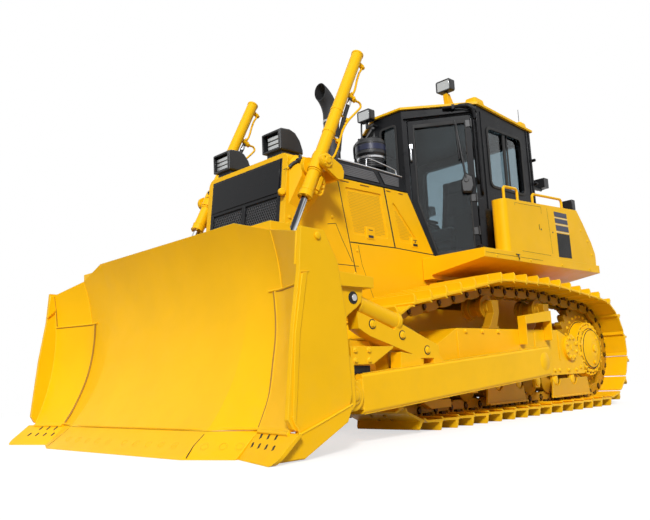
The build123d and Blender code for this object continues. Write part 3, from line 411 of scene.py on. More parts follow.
# stiffener ribs welded on the frame's outer face
for y in (-300, 905, 1348):
    caps.plate(oblong(y - 5, 470, y + 5, 735), FRAME_FACE, FRAME_FACE + 7)
caps.both_sides().fit("undercarriage_caps")
small_bolts = ring_of(PIVOT, 98, 8, 1156, 22.5) + ring_of(IDLER, 44, 3, FORK_FACE + 16, 90)
small_bolts += outside(HANGER_FACE, [(ROLLERS[i] + dy, 388) for i in (0, 1, 4) for dy in (-30, 30)])
small_bolts += outside(FRAME_FACE, [(-180, 735), (60, 735), (300, 735), (1230, 380), (1320, 380), (1500, 378),
                                    (1660, 378), (1760, 400), (1790, 520)])
fit_row("undercarriage_bolts", hex_head(28, 15), small_bolts)

# -------- final drives and sprockets
# A cast hub with a domed cover turns the sprocket rim. The rim is nine bolt-on segments
# of three teeth, so a seam shows between each pair of segments.
SPROCKET = (2120, 578.5)
RIM_FACE, HUB_STEP, COVER_STEP = 975, 1062, 1078


def moulding(name, colour, rough=0.5, metal=0.0, grain=220.0, depth=0.0004):
    """A bare or moulded surface: its colour and gloss drift, and it has a fine grain."""
    material, tree = new_finish(name)
    place = add(tree, "TexCoord", take="Object")
    cloud = noise(tree, place, 5.0, 5.0)
    rounded = add(tree, "Bevel", samples=4, Radius=0.003)
    bump = add(tree, "Bump", Strength=0.5, Distance=depth, Height=noise(tree, place, grain, 3.0),
               Normal=rounded)
    return surfaced(material, tree, Roughness=spread(tree, cloud, rough * 0.88, rough * 1.12),
                    Base_Color=blend(tree, 1.0, (*colour, 1), spread(tree, cloud, 0.88, 1.12), "MULTIPLY"),
                    Metallic=metal, Normal=bump)


drive_bolts = ring_of(SPROCKET, 260, 24, HUB_STEP) + ring_of(SPROCKET, 225, 16, COVER_STEP, 11)
drive_bolts += ring_of(SPROCKET, 345, 27, RIM_FACE, 6.6)
fit_row("drive_bolts", hex_head(22, 12), drive_bolts)
plugs = Piece()
plugs.turned([(0, 36), (12, 36), (16, 30)], (1121, *SPROCKET), sides=24)
plugs.turned([(-2, 20), (16, 20)], (1108, SPROCKET[0], SPROCKET[1] - 140), sides=6)
plugs.turned([(-2, 14), (14, 14)], (1111, SPROCKET[0] + 70, SPROCKET[1] + 105), sides=6)
plugs.both_sides().fit("drive_plugs")
# painted shade: dark rings in the corners between the cover's steps
# near-black for real gaps and seams, and for painted shade in corners and recesses
gap_and_shade_black = moulding("dark_gap_and_shade", (0.006, 0.005, 0.004), 0.8)
corner_shade = Piece()
ring = [(cos(2 * pi * i / 48), sin(2 * pi * i / 48)) for i in range(48)]
for x, outer, inner in ((HUB_STEP, 255, 247), (COVER_STEP, 212, 204), (RIM_FACE, 292, 272), (1096, 198, 190)):
    corner_shade.skin([[(x + dx, SPROCKET[0] + r * c, SPROCKET[1] + r * s) for c, s in ring]
               for r, dx in ((outer, -1), (outer, 1.4), (inner, 1.4), (inner, -1))], closed=True)
corner_shade.both_sides().fit("drive_corners", "root", gap_and_shade_black, "black", edge=0)

# -------- tracks
# Each track is a sealed chain of forged links, pinned at 203.2 mm, with one rolled shoe
# bolted to every link pair. The shoes have a single tall grouser across their width.
PITCH, SHOES, TRACK_X = 203.2, 42, 940
SPROCKET_PIN_R, IDLER_PIN_R = 440.5, 362
CARRIERS, CARRIER_PIN_Z = (300, 1180), 1110
START_PIN = (-713.4, SPROCKET[1] - SPROCKET_PIN_R)


def pin_line():
    """The chain's pin line as (y, z), from the first pin round the sprocket and the idler."""
    rise = asin((CARRIER_PIN_Z - SPROCKET[1] - SPROCKET_PIN_R) / (SPROCKET[0] - CARRIERS[1]))
    fall = asin((CARRIER_PIN_Z - IDLER[1] - IDLER_PIN_R) / (CARRIERS[0] - IDLER[0]))
    line = [START_PIN]
    for centre, r, a0, a1 in ((SPROCKET, SPROCKET_PIN_R, -pi / 2, pi / 2 - rise),
                              (IDLER, IDLER_PIN_R, pi / 2 + fall, 3 * pi / 2)):
        turns = [a0 + (a1 - a0) * i / 180 for i in range(181)]
        line += [(centre[0] + r * cos(a), centre[1] + r * sin(a)) for a in turns]
        line += [(y, CARRIER_PIN_Z) for y in CARRIERS[::-1]] if centre == SPROCKET else []
    return line + line[:1]


def pins_along(line):
    """Pins one pitch apart along the line, each measured straight from the last."""
    pins, here = [Vector(line[0])], Vector(line[0])
    for there in map(Vector, line[1:]):
        while (there - pins[-1]).length >= PITCH and len(pins) < SHOES:
            low, high = 0.0, 1.0
            for _ in range(30):
                mid = (low + high) / 2
                low, high = (mid, high) if (here.lerp(there, mid) - pins[-1]).length < PITCH else (low, mid)
            pins.append(here.lerp(there, mid))
            here = pins[-1]
        here = there
    return pins


pins = pins_along(pin_line())
# a link lies along its own +Y from its first pin, with the ground side towards its -Z
link_places = [((x, *a), Euler((atan2(b.y - a.y, b.x - a.x), 0, 0)))
               for a, b in zip(pins, pins[1:] + pins[:1]) for x in (TRACK_X, -TRACK_X)]

# a shoe's section as (along, out) from the pin line: its front lip tucks under the shoe before
SHOE = [(-24, 38), (-14, 38), (8, 56), (196, 58), (203, 64), (203, 73), (187, 77), (177, 138), (163, 138),
        (155, 78), (60, 73), (20, 73), (0, 64), (-24, 48)]
shoe = Piece().skin([[(x, along, -min(out, top)) for along, out in SHOE]
                     for x, top in ((-305, 118), (-296, 138), (296, 138), (305, 118))])
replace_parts(fit_row("track_shoes", shoe, link_places), "track_left", "track_right")

LINK = [(-30, 2), (-22, 24), (0, 33), (30, 40), (52, 50), (152, 50), (173, 40), (203, 33), (226, 24), (234, 2),
        (228, -20), (205, -32), (160, -22), (100, -20), (40, -22), (-2, -32), (-26, -20)]
link = Piece().plate(LINK, 48, 82)
for y0, y1 in ((14, 40), (88, 116), (164, 190)):
    link.block((51, y0, -60), (79, y1, -18))
fit_row("track_links", link.both_sides(), link_places, "root", oiled_and_shaded)

# painted shade: the pins, bushings and a plate across the inside of the chain are dark brown for the shade in the gaps
# between links
pin = Piece().bar((-92, 0, 0), (92, 0, 0), 19, 12).bar((-46, 0, 0), (46, 0, 0), 30, 14)
pin.plate(oblong(80, -58, 124, -24), -84, 84)
LINK_GAP_SHADE = enamel("link_gap_shade", (0.085, 0.040, 0.006), (0.4, 0.22, 0.02), rough=0.6)
fit_row("track_pins", pin, link_places, "root", LINK_GAP_SHADE)

bolts = Piece()
for y in (48, 134):
    bolts.turned([(0, 15), (9, 15), (12, 12)], (65, y, -73), (0, 0, -1), 6)
    bolts.turned([(0, 17), (16, 17)], (65, y + 14, -58), UP, 4)
fit_row("shoe_bolts", bolts.both_sides(), link_places, "root", oiled_and_shaded)

# -------- radiator guard, mask and mesh
# The guard is a welded yellow arch. Its black mask carries a bare name panel over two
# framed fields of honeycomb mesh, and swings on a pin whose knob sticks out on the left.


def surface_of(*names):
    """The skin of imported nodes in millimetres, to lay plates, seams and bolts on."""
    points, faces = [], []
    for name in names:
        start, mesh = len(points), nodes[name].data
        points += [v.co / MM for v in mesh.vertices]
        faces += [[start + i for i in face.vertices] for face in mesh.polygons]
    return BVHTree.FromPolygons(points, faces)


def touch(surface, point, direction):
    """Where a line from the point first meets a surface, and which way the surface faces there."""
    spot, face = surface.ray_cast(Vector(point), Vector(direction))[:2]
    return spot, (-face if face.dot(Vector(direction)) > 0 else face)


charcoal = moulding("charcoal_moulding", (0.012, 0.0125, 0.014), 0.42)
steel = moulding("bare_steel", (0.55, 0.55, 0.56), 0.32, metal=1.0)
dress(black, "grille_mask")
mask = surface_of("grille_mask")
MASK_TOP, MASK_FOOT, PANEL_FOOT, PANEL_SIDE = 2114, 1230, 1848, 440


def on_mask(x, z, proud=0.0):
    return touch(mask, (x, -2200, z), BACK)[0] - Vector((0, proud, 0))


panel = Piece()
panel.skin([[on_mask(*p, proud) for p in oblong(-PANEL_SIDE, PANEL_FOOT, PANEL_SIDE, MASK_TOP)] for proud in (-2, 7)])
# stiffening strips between and round the two fields of mesh
for x, half in ((0, 15), (-434, 11), (434, 11)):
    panel.skin([[on_mask(*p, proud) for p in oblong(x - half, MASK_FOOT - 20, x + half, PANEL_FOOT - 14)]
                for proud in (-2, 4)])
panel.fit("name_panel", "root", black, "black", edge=4)

HOLE_PITCH, WIRE = 25.0, 3.2
CELL_R, ROW_STEP = HOLE_PITCH / 2 / cos(pi / 6), HOLE_PITCH * cos(pi / 6)
hexagon = [(cos(pi / 3 * i + pi / 6), sin(pi / 3 * i + pi / 6)) for i in range(6)]
cell = Piece().skin([[(r * x, r * y, z) for x, y in hexagon] for r, z in
                     ((CELL_R + 0.3, 0), (CELL_R + 0.3, 5), (CELL_R - WIRE, 5), (CELL_R - WIRE, 0))], closed=True)
cells = [touch(mask, (side * (44 + HOLE_PITCH * (column + row % 2 / 2)), -2200, 1248 + ROW_STEP * row), BACK)
         for side in (-1, 1) for row in range(26) for column in range(15)]
fit_row("grille_honeycomb", cell, cells, "root", moulding("mesh_wire", (0.045, 0.047, 0.05), 0.4))

GUARD_X, FORK_PIN = 520, (-1362, 2040)
guard_lines = Piece()
# seams between the guard's plates, and the gap along its rear edge where the engine doors start
for width, points in ((5, [(-1095, 1636), (-1000, 1652), (-930, 1520), (-826, 1346)]),
                      (5, [(-1540, 2010), (-1478, 2036)]), (5, [(-1546, 1316), (-752, 1316)]),
                      (9, [(-957, 2054), (-849, 1524), (-712, 910)])):
    guard_lines.side_seam(GUARD_X, points, width)
guard_lines.both_sides().fit("guard_seams", "root", gap_and_shade_black, "black", edge=0)

# wiring to the headlamps, in a black conduit up the front of each shoulder
guard = surface_of("radiator_guard")
run = [touch(guard, (900, y, z), (-1, 0, 0))[0] + Vector((5, 0, 0))
       for y, z in ((-1484, 2036), (-1468, 2064), (-1440, 2084), (-1416, 2112), (-1396, 2140))]
conduit = Piece().pipe(run, 15, 10).turned([(0, 19), (20, 19)], run[2] - Vector((0, 14, 6)), (0, 1, 0.7), 14)
conduit.both_sides().fit("lamp_conduit", "root", charcoal, "black", edge=0)

fittings = Piece()
# welded doubler on the cheek, and the collar round each shoulder's foot
fittings.plate([(-1530, 1360), (-1290, 1360), (-1350, 1560), (-1530, 1600)], GUARD_X, GUARD_X + 9)
fittings.turned([(-1, 56), (8, 56), (12, 48)], (816, *FORK_PIN), sides=28)
fittings.turned([(0, 28), (8, 28), (12, 22)], (826, *FORK_PIN), sides=20)
fittings.both_sides()
# hinge pin of the mask with its knob
fittings.turned([(0, 14), (46, 14), (48, 24), (60, 30), (76, 30), (86, 22)], (452, -1532, 1832), (1, -0.5, 0), 20)
fittings.fit("guard_fittings", edge=3)
guard_bolts = ring_of(FORK_PIN, 42, 4, 828, 45, 0.7)
guard_bolts += outside(GUARD_X, [(-1500, 2030), (-1500, 1640), (-1500, 1260), (-1500, 1010), (-1040, 2080),
                                 (-1040, 1700), (-800, 1250), (-1140, 1230), (-1140, 990), (-760, 990)])
guard_bolts += mirrored([(on_mask(449, z), (0, -1, 0.11)) for z in (1240, 1540)])
fit_row("guard_bolts", hex_head(20, 10), guard_bolts)

# -------- hood band and engine doors
# A black band with two louvred windows runs along the hood's top. Below it hang two
# gull-wing doors a side, each with a sunken perforated panel and a paddle latch.
ALLOY = moulding("brushed_alloy", (0.60, 0.61, 0.63), 0.36, metal=1.0, grain=90.0)
HOOD_X, DOOR_FLOOR, HINGE_Z = 500, 491, 2044
dress(black, "hood_top")
hood = surface_of("hood_top")


def on_hood(y, z, proud=0.0):
    spot, face = touch(hood, (900, y, z), (-1, 0, 0))
    return spot + face * proud


frames, louvres = Piece(), Piece()
for y0, y1, y2, y3 in ((-890, -404, -376, -862), (-352, -60, -118, -326)):
    rim = [Vector(p) for p in ((y0, 2214), (y1, 2206), (y2, 2092), (y3, 2092))]
    middle = sum(rim, Vector((0, 0))) / 4
    small = [middle + (p - middle) * 0.93 for p in rim]
    louvres.skin([[on_hood(*p, proud) for p in small] for proud in (-3, 2.5)])
    frames.skin([[on_hood(*p, proud) for p in points] for points, proud in
                 ((rim, -3), (rim, 6), (small, 6), (small, -3))], closed=True)
    for step in range(1, 6):
        a, b = small[0].lerp(small[3], step / 6), small[1].lerp(small[2], step / 6)
        louvres.skin([[on_hood(p.x, p.y + dz, proud) for p, dz in ((a, -3), (b, -3), (b, 3), (a, 3))]
                      for proud in (0, 5)])
LOUVRE_GREY = moulding("louvre_grey", (0.085, 0.085, 0.09), 0.42)
louvres.both_sides().fit("hood_louvres", "root", LOUVRE_GREY, "black", edge=0)
frames.both_sides().fit("louvre_frames", "root", black, "black", edge=1.5)

rails = Piece().pipe([(441, -944, 2246), (441, -600, 2243), (441, -350, 2240), (441, -16, 2226)], 7).both_sides()
# guard rail beside the air cleaner
rails.pipe([(418, -470, 2236), (418, -470, 2318), (410, -440, 2336), (404, -330, 2332), (398, -60, 2300),
            (396, -34, 2284), (396, -34, 2226)], 6)
rails.fit("hood_rails", "root", ALLOY, "chrome", edge=0)

SIDES = (("left", 1), ("right", -1))
# each door's sunken panel, the box of its latch boss as (y0, y1, z0, z1), and its hinges along Y
DOOR_PANELS = {
    "front": ([(-843, 1986), (-395, 1990), (-328, 1596), (-770, 1590)], (-613, -505, 1565, 1669),
              ((-905, -800), (-660, -545))),
    "rear": ([(-252, 1962), (118, 1580), (-166, 1584)], (-9, 93, 1548, 1640), ((-322, -262), (-150, -88))),
}
HOLE_STEP, HOLE_R, HOLE_MARGIN, LATCH_MARGIN, LATCH_FACE = 15.5, 4.2, 22, 14, HOOD_X + 4
HOLE_BROWN = moulding("hole_shade", (0.50, 0.27, 0.008), 0.7)


def inside(point, outline, margin):
    """Whether a point lies within a convex outline, this far from its edges."""
    ends = list(zip(map(Vector, outline), map(Vector, outline[1:] + outline[:1])))
    turn = 1 if sum(a.cross(b) for a, b in ends) > 0 else -1
    return all((b - a).normalized().cross(Vector(point) - a) * turn >= margin for a, b in ends)


for word, side in SIDES:
    for place, (recess, (y0, y1, z0, z1), hinges) in DOOR_PANELS.items():
        body = f"engine_door_{place}_{word}"
        grid = [(-900 + HOLE_STEP * (column + row % 2 / 2), 1590 + HOLE_STEP * 0.87 * row)
                for row in range(40) for column in range(60)]
        holes = [((DOOR_FLOOR, y, z), (1, 0, 0)) for y, z in grid if inside((y, z), recess, HOLE_MARGIN)
                 and not (y0 - LATCH_MARGIN < y < y1 + LATCH_MARGIN and z < z1 + LATCH_MARGIN)]
        dimple = Piece().turned([(-1, HOLE_R), (0.7, HOLE_R)], (0, 0, 0), UP, 7)
        fit_row(f"door_holes_{place}_{word}", dimple, sided(holes, side), body, HOLE_BROWN)
        # raised boss with a flat panel for the latch
        boss = [(y0, z0 + 8), (y0 + 8, z0), (y1 - 8, z0), (y1, z0 + 8), (y1, z1 - 8), (y1 - 8, z1), (y0 + 8, z1),
                (y0, z1 - 8)]
        trim, dark = Piece().plate(boss, DOOR_FLOOR - 2, LATCH_FACE), Piece()
        for a, b in hinges:
            trim.bar((HOOD_X + 1, a, HINGE_Z - 4), (HOOD_X + 1, b, HINGE_Z - 4), 6, 10)
            dark.plate(oblong(a, HINGE_Z - 16, b, HINGE_Z - 11), HOOD_X, HOOD_X + 1.2)
        trim.on_side(side).fit(f"door_fittings_{place}_{word}", body, edge=3)
        middle = (y0 + y1) / 2
        dark.plate(oblong(middle - 30, z0 + 14, middle + 30, z0 + 36), LATCH_FACE, LATCH_FACE + 3)
        dark.plate(oblong(middle - 26, z1 - 26, middle + 26, z1 - 19), LATCH_FACE, LATCH_FACE + 1.4)
        if place == "rear":
            dark.turned([(0, 8), (4, 8), (5, 6)], (LATCH_FACE, middle, z0 + 54), sides=14)
        dark.on_side(side).fit(f"door_latch_{place}_{word}", body, charcoal, "black", edge=1)

# rubber strips in the gaps round the doors: wide along the uprights and narrow along the foot
strips = Piece()
for width, a, b in ((15, (-942, 2056), (-834, 1524)), (15, (-348, 2056), (-244, 1524)), (15, (-10, 2056), (322, 1508)),
                    (6, (-836, 1519), (-240, 1522)), (6, (-240, 1522), (322, 1505))):
    strips.side_seam(HOOD_X + 1, (a, b), width)
strips.both_sides().fit("door_strips", "root", gap_and_shade_black, "black", edge=0)
lower = Piece().side_seam(HOOD_X + 1, [(-560, 1040), (-690, 1340), (-724, 1500)], 2.5)
lower.both_sides().fit("hood_seams", "root", gap_and_shade_black, "black", edge=0)
side_bolts = outside(HOOD_X, [(-740, 1452), (270, 1440), (270, 1060), (-540, 1060), (-140, 1060)])
fit_row("hood_bolts", hex_head(18, 8), side_bolts)

# -------- exhaust, air cleaner and headlamps
# The bent exhaust is matt black pipe. The air cleaner's clear bowl sits on a ribbed inlet
# body. Hooded headlamps on the guard have three reflector strips behind each lens.
dress(moulding("heatproof_black", (0.014, 0.014, 0.016), 0.62, grain=320.0), "exhaust_stack")
dress(charcoal, "air_precleaner", "headlamps")
INTAKE = (235, -190)
body_rings = Piece()
for z, r in ((2326, 121), (2344, 122), (2362, 124), (2380, 125)):
    body_rings.turned([(0, r), (9, r)], (*INTAKE, z), UP, 28)
body_rings.turned([(0, 143), (6, 147), (14, 147), (20, 143)], (*INTAKE, 2440), UP, 36)
body_rings.turned([(0, 146), (10, 146), (14, 142)], (*INTAKE, 2540), UP, 36)
body_rings.turned([(0, 30), (12, 30), (16, 22)], (*INTAKE, 2594), UP, 18)
body_rings.fit("air_cleaner_rings", "root", charcoal, "trim", edge=1.5)
NAVY = moulding("navy_band", (0.006, 0.010, 0.045), 0.34)
blue_band = Piece().turned([(0, 142.5), (3, 144.5), (52, 144.5), (55, 142.5)], (*INTAKE, 2476), UP, 40)
blue_band.fit("air_cleaner_bowl", "root", NAVY, "trim", edge=0)
bright_band = Piece().turned([(0, 120), (2, 128), (18, 134), (20, 126)], (*INTAKE, 2400), UP, 40)
bright_band.fit("air_cleaner_clamp", "root", ALLOY, "chrome", edge=0)
clamps = Piece()
for z in (2030, 2600, 2780):
    clamps.turned([(0, 76), (1, 79), (21, 79), (22, 76)], (0, -462, z), UP, 32)
clamps.fit("exhaust_clamps", "root", steel, "iron", edge=0)


def lens_glass(name, colour):
    """Clear ribbed lamp glass over a bright reflector."""
    material, tree = new_finish(name)
    place = add(tree, "TexCoord", take="Object")
    ribs = add(tree, "TexWave", Vector=place, Scale=28.0, Distortion=0.3).node.outputs
    bump = add(tree, "Bump", Strength=0.35, Distance=0.002, Height=ribs["Fac"])
    return surfaced(material, tree, Base_Color=blend(tree, 0.35, (*colour, 1), ribs["Color"], "MULTIPLY"),
                    Metallic=0.6, Roughness=0.12, Normal=bump, Coat_Weight=1.0, Coat_Roughness=0.04)


LENS = lens_glass("headlamp_lens", (0.60, 0.62, 0.62))
LAMP_FRONT, LAMP_REAR, LAMP_OUT = -1502, -1462, 424
hoods, lenses = Piece(), Piece()
for side, lamp_in in ((1, 272), (-1, 256)):
    # moulded lip round the mouth of each pocket, and the lens in three bars at its back
    hoods.skin([[(side * x, LAMP_FRONT + dy, z) for x, z in oblong(240 - grow, 2222 - grow, 428 + grow, 2356 + grow)]
                for grow, dy in ((0, 4), (0, -4), (12, -4), (14, 4))], closed=True)
    x0, x1 = sorted((side * lamp_in, side * LAMP_OUT))
    hoods.block((x0 - 3, LAMP_REAR - 8, 2230), (x1 + 3, LAMP_REAR + 16, 2346))
    for z in (2235, 2272, 2309):
        lenses.block((x0, LAMP_REAR - 18, z), (x1, LAMP_REAR - 7, z + 30))
hoods.fit("headlamp_rims", "root", charcoal, "lamp", edge=3)
lenses.fit("headlamp_lenses", "root", LENS, "lamp", edge=4)

# -------- engine
# A cast-iron diesel with six heads stands behind the gull-wing doors. Its intake pipe lies
# on the left and its exhaust manifold on the right, with steel fuel lines to every head.
IRON = moulding("cast_iron", (0.085, 0.080, 0.074), 0.55, metal=0.25, grain=160.0, depth=0.001)
SCALED_IRON = moulding("scaled_iron", (0.14, 0.075, 0.05), 0.7, grain=120.0, depth=0.001)
dress(IRON, "engine", "radiator")
BLOCK_X, RUN_X, HEADS, INLET_Y = 330, 402, [-790 + 132 * i for i in range(6)], -190
castings, fuel_lines, filters = Piece(), Piece(), Piece()
for y in HEADS:
    # the head's flange, and the cover on the crankcase below it
    castings.plate(oblong(y - 54, 1716, y + 54, 1812), BLOCK_X - 4, BLOCK_X + 42)
    castings.plate(oblong(y - 46, 1560, y + 46, 1676), BLOCK_X - 4, BLOCK_X + 12)
castings.plate(oblong(-858, 1690, 18, 1706), BLOCK_X - 4, BLOCK_X + 30).both_sides()
for y in HEADS:
    # rocker covers, left off where the air inlet comes down
    for side in (1, -1) if abs(y - INLET_Y) > 120 else (-1,):
        castings.plate([(y - 56, 1756), (y + 56, 1756), (y + 48, 1846), (y - 48, 1846)], side * 96, side * 306)
for i, y in enumerate(HEADS):
    # fuel lines fan out from the pump on the left
    start = -470 + 22 * i
    fuel_lines.pipe([(404, start, 1612), (420, start, 1650), (424, (start + y) / 2, 1682), (414, y, 1700),
                     (384, y, 1722)], 5, 8)
fuel_lines.plate(oblong(-486, 1594, -344, 1622), 376, 430)
castings.plate(oblong(-500, 1520, -330, 1596), 340, 446)
for y in (-150, -10):
    filters.turned([(0, 46), (10, 56), (150, 56), (166, 40)], (400, y, 1530), UP, 24)
    castings.turned([(0, 60), (26, 60)], (400, y, 1694), UP, 24)
castings.fit("engine_castings", "root", IRON, "iron", edge=6)
for name, side, finish in (("intake_pipe", 1, IRON), ("exhaust_manifold", -1, SCALED_IRON)):
    run = Piece().turned([(0, 30), (12, 44), (760, 44), (772, 30)], (RUN_X, HEADS[0] - 56, 1880), BACK, 22)
    for y in HEADS:
        run.pipe([(BLOCK_X + 34, y, 1766), (RUN_X - 10, y, 1776), (RUN_X, y, 1812), (RUN_X, y, 1850)], 23, 12)
    run.on_side(side).fit(name, "root", finish, "iron", edge=0)
fuel_lines.fit("fuel_lines", "root", steel, "iron", edge=0)
filters.fit("oil_filters", "root", moulding("filter_paint", (0.55, 0.54, 0.50), 0.4), "iron", edge=3)
loom = Piece().pipe([(372, -850, 1960), (384, -600, 1968), (376, -300, 1958), (382, 10, 1966)], 13, 10)
loom.both_sides().fit("engine_loom", "root", charcoal, "trim", edge=0)
engine_bolts = outside(BLOCK_X + 42, [(y + dy, z) for y in HEADS for dy in (-40, 40) for z in (1730, 1798)])
engine_bolts += outside(BLOCK_X + 12, [(y + dy, z) for y in HEADS for dy in (-34, 34) for z in (1572, 1664)], 0.8)
fit_row("engine_bolts", hex_head(18, 9), engine_bolts, "root", steel)

# -------- decks, side boxes and tank
# Folded steel decks carry a locker each side. Their doors have thin seams, a pull latch and
# a keyhole, and the boxes wear plain navy stripes over a bare black plate.
BOX_X, STRIPE_LONG = 1175, 262
PALE = moulding("pale_stripe", (0.80, 0.72, 0.42), 0.4)
GRIP = moulding("grip_tape", (0.02, 0.02, 0.02), 0.9, grain=500.0, depth=0.002)


def stripe_start(z):
    """Where a stripe starts along the box at this height: the stripes lean with its front edge."""
    return 1430 + (1955 - z) * 0.10


box_lines, marks, black_plates, navy, pale = (Piece() for _ in range(5))
for points in (((700, 1903), (700, 1925), (1180, 1947), (1180, 1880)), ((1296, 1952), (1310, 1760), (1330, 1500)),
               ((760, 1478), (1290, 1478))):
    box_lines.side_seam(BOX_X, points, 2.6)
box_lines.side_seam(BOX_X + 1, ((152, 1415), (1120, 1415)), 2.2)
# pull latch and keyholes, and the hooked latch on the edge of the deck
box_lines.plate([(1116, 1716), (1124, 1716), (1120, 1768), (1112, 1768)], BOX_X - 1, BOX_X + 1.5)
marks.turned([(0, 9), (3, 9), (5, 6)], (BOX_X, 1148, 1722), sides=12)
marks.turned([(0, 8), (3, 8), (5, 6)], (BOX_X, 1372, 1716), sides=12)
marks.plate(oblong(640, 1432, 700, 1440), BOX_X - 1, BOX_X + 8)
marks.pipe([(1180, 668, 1436), (1192, 664, 1412), (1190, 676, 1384), (1178, 690, 1404)], 4)
for z0, z1 in ((1886, 1936), (1822, 1868), (1744, 1800)):
    low, high = stripe_start(z0), stripe_start(z1)
    navy.plate([(low, z0), (low + STRIPE_LONG, z0 + 6), (high + STRIPE_LONG, z1 + 6), (high, z1)],
               BOX_X - 1, BOX_X + 1.6)
for z in (1872, 1807, 1729):
    low, high = stripe_start(z), stripe_start(z) + STRIPE_LONG
    pale.plate([(low - 2, z), (high + 2, z + 6), (high + 1, z + 14), (low - 3, z + 8)], BOX_X - 1, BOX_X + 1.6)
black_plates.plate([(1453, 1478), (1722, 1484), (1718, 1726), (1454, 1720)], BOX_X - 1, BOX_X + 2.2)
# hand grip strips on the deck in front of the cab door
for y in (190, 250, 310, 370, 430):
    black_plates.block((830, y, 1454.5), (1120, y + 32, 1457))
box_lines.both_sides().fit("box_seams", "root", gap_and_shade_black, "black", edge=0)
marks.both_sides().fit("box_latches", "root", charcoal, "black", edge=0.8)
navy.both_sides().fit("box_stripes", "root", NAVY, "trim", edge=0)
pale.both_sides().fit("box_stripe_edges", "root", PALE, "yellow", edge=0)
black_plates.both_sides().fit("box_plates", "root", GRIP, "black", edge=0.6)
deck_bolts = outside(BOX_X, [(320, 1398), (900, 1398), (1500, 1398), (2100, 1398), (1985, 1800), (2110, 1700),
                             (2180, 1560)])
fit_row("deck_bolts", hex_head(20, 8), deck_bolts)

# fuel filler, tank straps and rear lamps
tank = Piece().turned([(-10, 62), (30, 62), (34, 54), (60, 54), (66, 46)], (430, 2120, 1940), UP, 28)
for x in (-620, 0, 620):
    tank.plate([(1960, 1944), (2326, 1944), (2521, 1702), (2521, 1500), (2500, 1500), (2310, 1930), (1960, 1930)],
               x - 22, x + 22)
tank.fit("tank_filler_and_straps", edge=2)
rear = Piece().block((836, 2302, 2116), (964, 2372, 2232)).bar((900, 2290, 1800), (900, 2330, 2120), 11, 10)
rear.both_sides().fit("tail_lamp_housings", "root", charcoal, "lamp", edge=9, steps=3)
tail = Piece().block((848, 2370, 2130), (952, 2376, 2218))
tail.both_sides().fit("tail_lamp_lenses", "root", LENS, "lamp", edge=2)
rear_bolts = mirrored([((x, 2520.5, z), BACK) for x in (420, 760) for z in (1490, 1660)] +
                      [((x, 2440.5, z), BACK) for x in (180, 300) for z in (800, 1000)])
fit_row("rear_bolts", hex_head(24, 12), rear_bolts)

# -------- cab shell and glass
# The six-sided cab is black pressed steel on rubber mounts. Its panes are grey-blue tinted
# safety glass set in rubber, and the roof is a yellow pressing with lamps on brackets.


def tinted_glass(name, colour):
    """Safety glass: clear with a grey-blue tint and a very slight unevenness."""
    material, tree = new_finish(name)
    film = noise(tree, add(tree, "TexCoord", take="Object"), 2.2, 3.0)
    tint = blend(tree, 1.0, (*colour, 1), spread(tree, film, 0.95, 1.0), "MULTIPLY")
    return surfaced(material, tree, Base_Color=tint, Roughness=spread(tree, film, 0.0, 0.05, 0.4, 0.75),
                    Transmission_Weight=1.0, IOR=1.45)


dress(tinted_glass("tinted_glass", (0.40, 0.49, 0.53)), "cab_windows", "door_glass_left", "door_glass_right")
dress(black, "cab_frame", "cab_door_left", "cab_door_right")
dress(charcoal, "control_consoles", "work_lights")
RUBBER = moulding("black_rubber", (0.012, 0.012, 0.012), 0.72, grain=400.0)
dress(RUBBER, "cab_floor")
CAB_X, CAB_FRONT, CAB_REAR = 801, 366, 1801


def rounded_frame(centre_a, centre_b, width, height, corner, inset):
    """The outline of a rounded rectangle as (along, up)."""
    w, h, r = width / 2 - inset, height / 2 - inset, corner - inset / 2
    points = []
    for ca, cb, start in ((w - r, h - r, 0), (-w + r, h - r, 90), (-w + r, -h + r, 180), (w - r, -h + r, 270)):
        turns = [radians(start + 15 * i) for i in range(7)]
        points += [(centre_a + ca + r * cos(a), centre_b + cb + r * sin(a)) for a in turns]
    return points


# rubber round each side window, and the sliding pane's two uprights
seals = Piece()
seals.skin([[(CAB_X + out, *p) for p in rounded_frame(1261, 2510, 654, 620, 60, inset)]
            for inset, out in ((-9, 0), (-9, 8), (17, 8), (17, 0))], closed=True)
seals.block((780, 1240, 2204), (796, 1282, 2816)).block((774, 1330, 2204), (782, 1352, 2816)).both_sides()
# rubber round the windscreen and the rear window
for pane, y, sign, lap in (((0, 2590, 210, 650, 40), CAB_FRONT, -1, 14), ((0, 2410, 1280, 860, 60), CAB_REAR, 1, 14)):
    seals.skin([[(x, y + sign * out, z) for x, z in rounded_frame(*pane, inset)]
                for inset, out in ((-9, 0), (-9, 8), (lap, 8), (lap, 0))], closed=True)
seals.fit("window_seals", "root", RUBBER, "trim", edge=2)

PILLAR = Vector((183, CAB_FRONT))
ALONG, OUT = Vector((617, 424)).normalized(), Vector((424, -617)).normalized()


def at_door(along, z, out=0.0):
    """A point on the left doorway's wall: along it from the front pillar, up, and out from its face."""
    return (*(PILLAR + ALONG * along + OUT * out), z)


def door_block(piece, along, z, out):
    """A box on a doorway's wall, each size given as (from, to)."""
    return piece.skin([[at_door(*p, o) for p in oblong(along[0], z[0], along[1], z[1])] for o in out])


trim = Piece()
# grab tubes on brackets beside each door, and the drip rail over it
for along, out, z0, z1 in ((709, 40, 2220, 2900), (739, 52, 2100, 2890)):
    trim.pipe([at_door(along, z, o) for z, o in ((z0, 2), (z0 + 8, out), (z0 + 90, out), ((z0 + z1) / 2, out),
                                                 (z1 - 90, out), (z1 - 8, out), (z1, 2))], 13, 12)
for z in (2330, 2560, 2820):
    door_block(trim, (699, 749), (z, z + 26), (-2, 34))
door_block(trim, (20, 748), (2944, 2966), (-2, 26))
door_block(trim, (691, 743), (1500, 2060), (-2, 12))
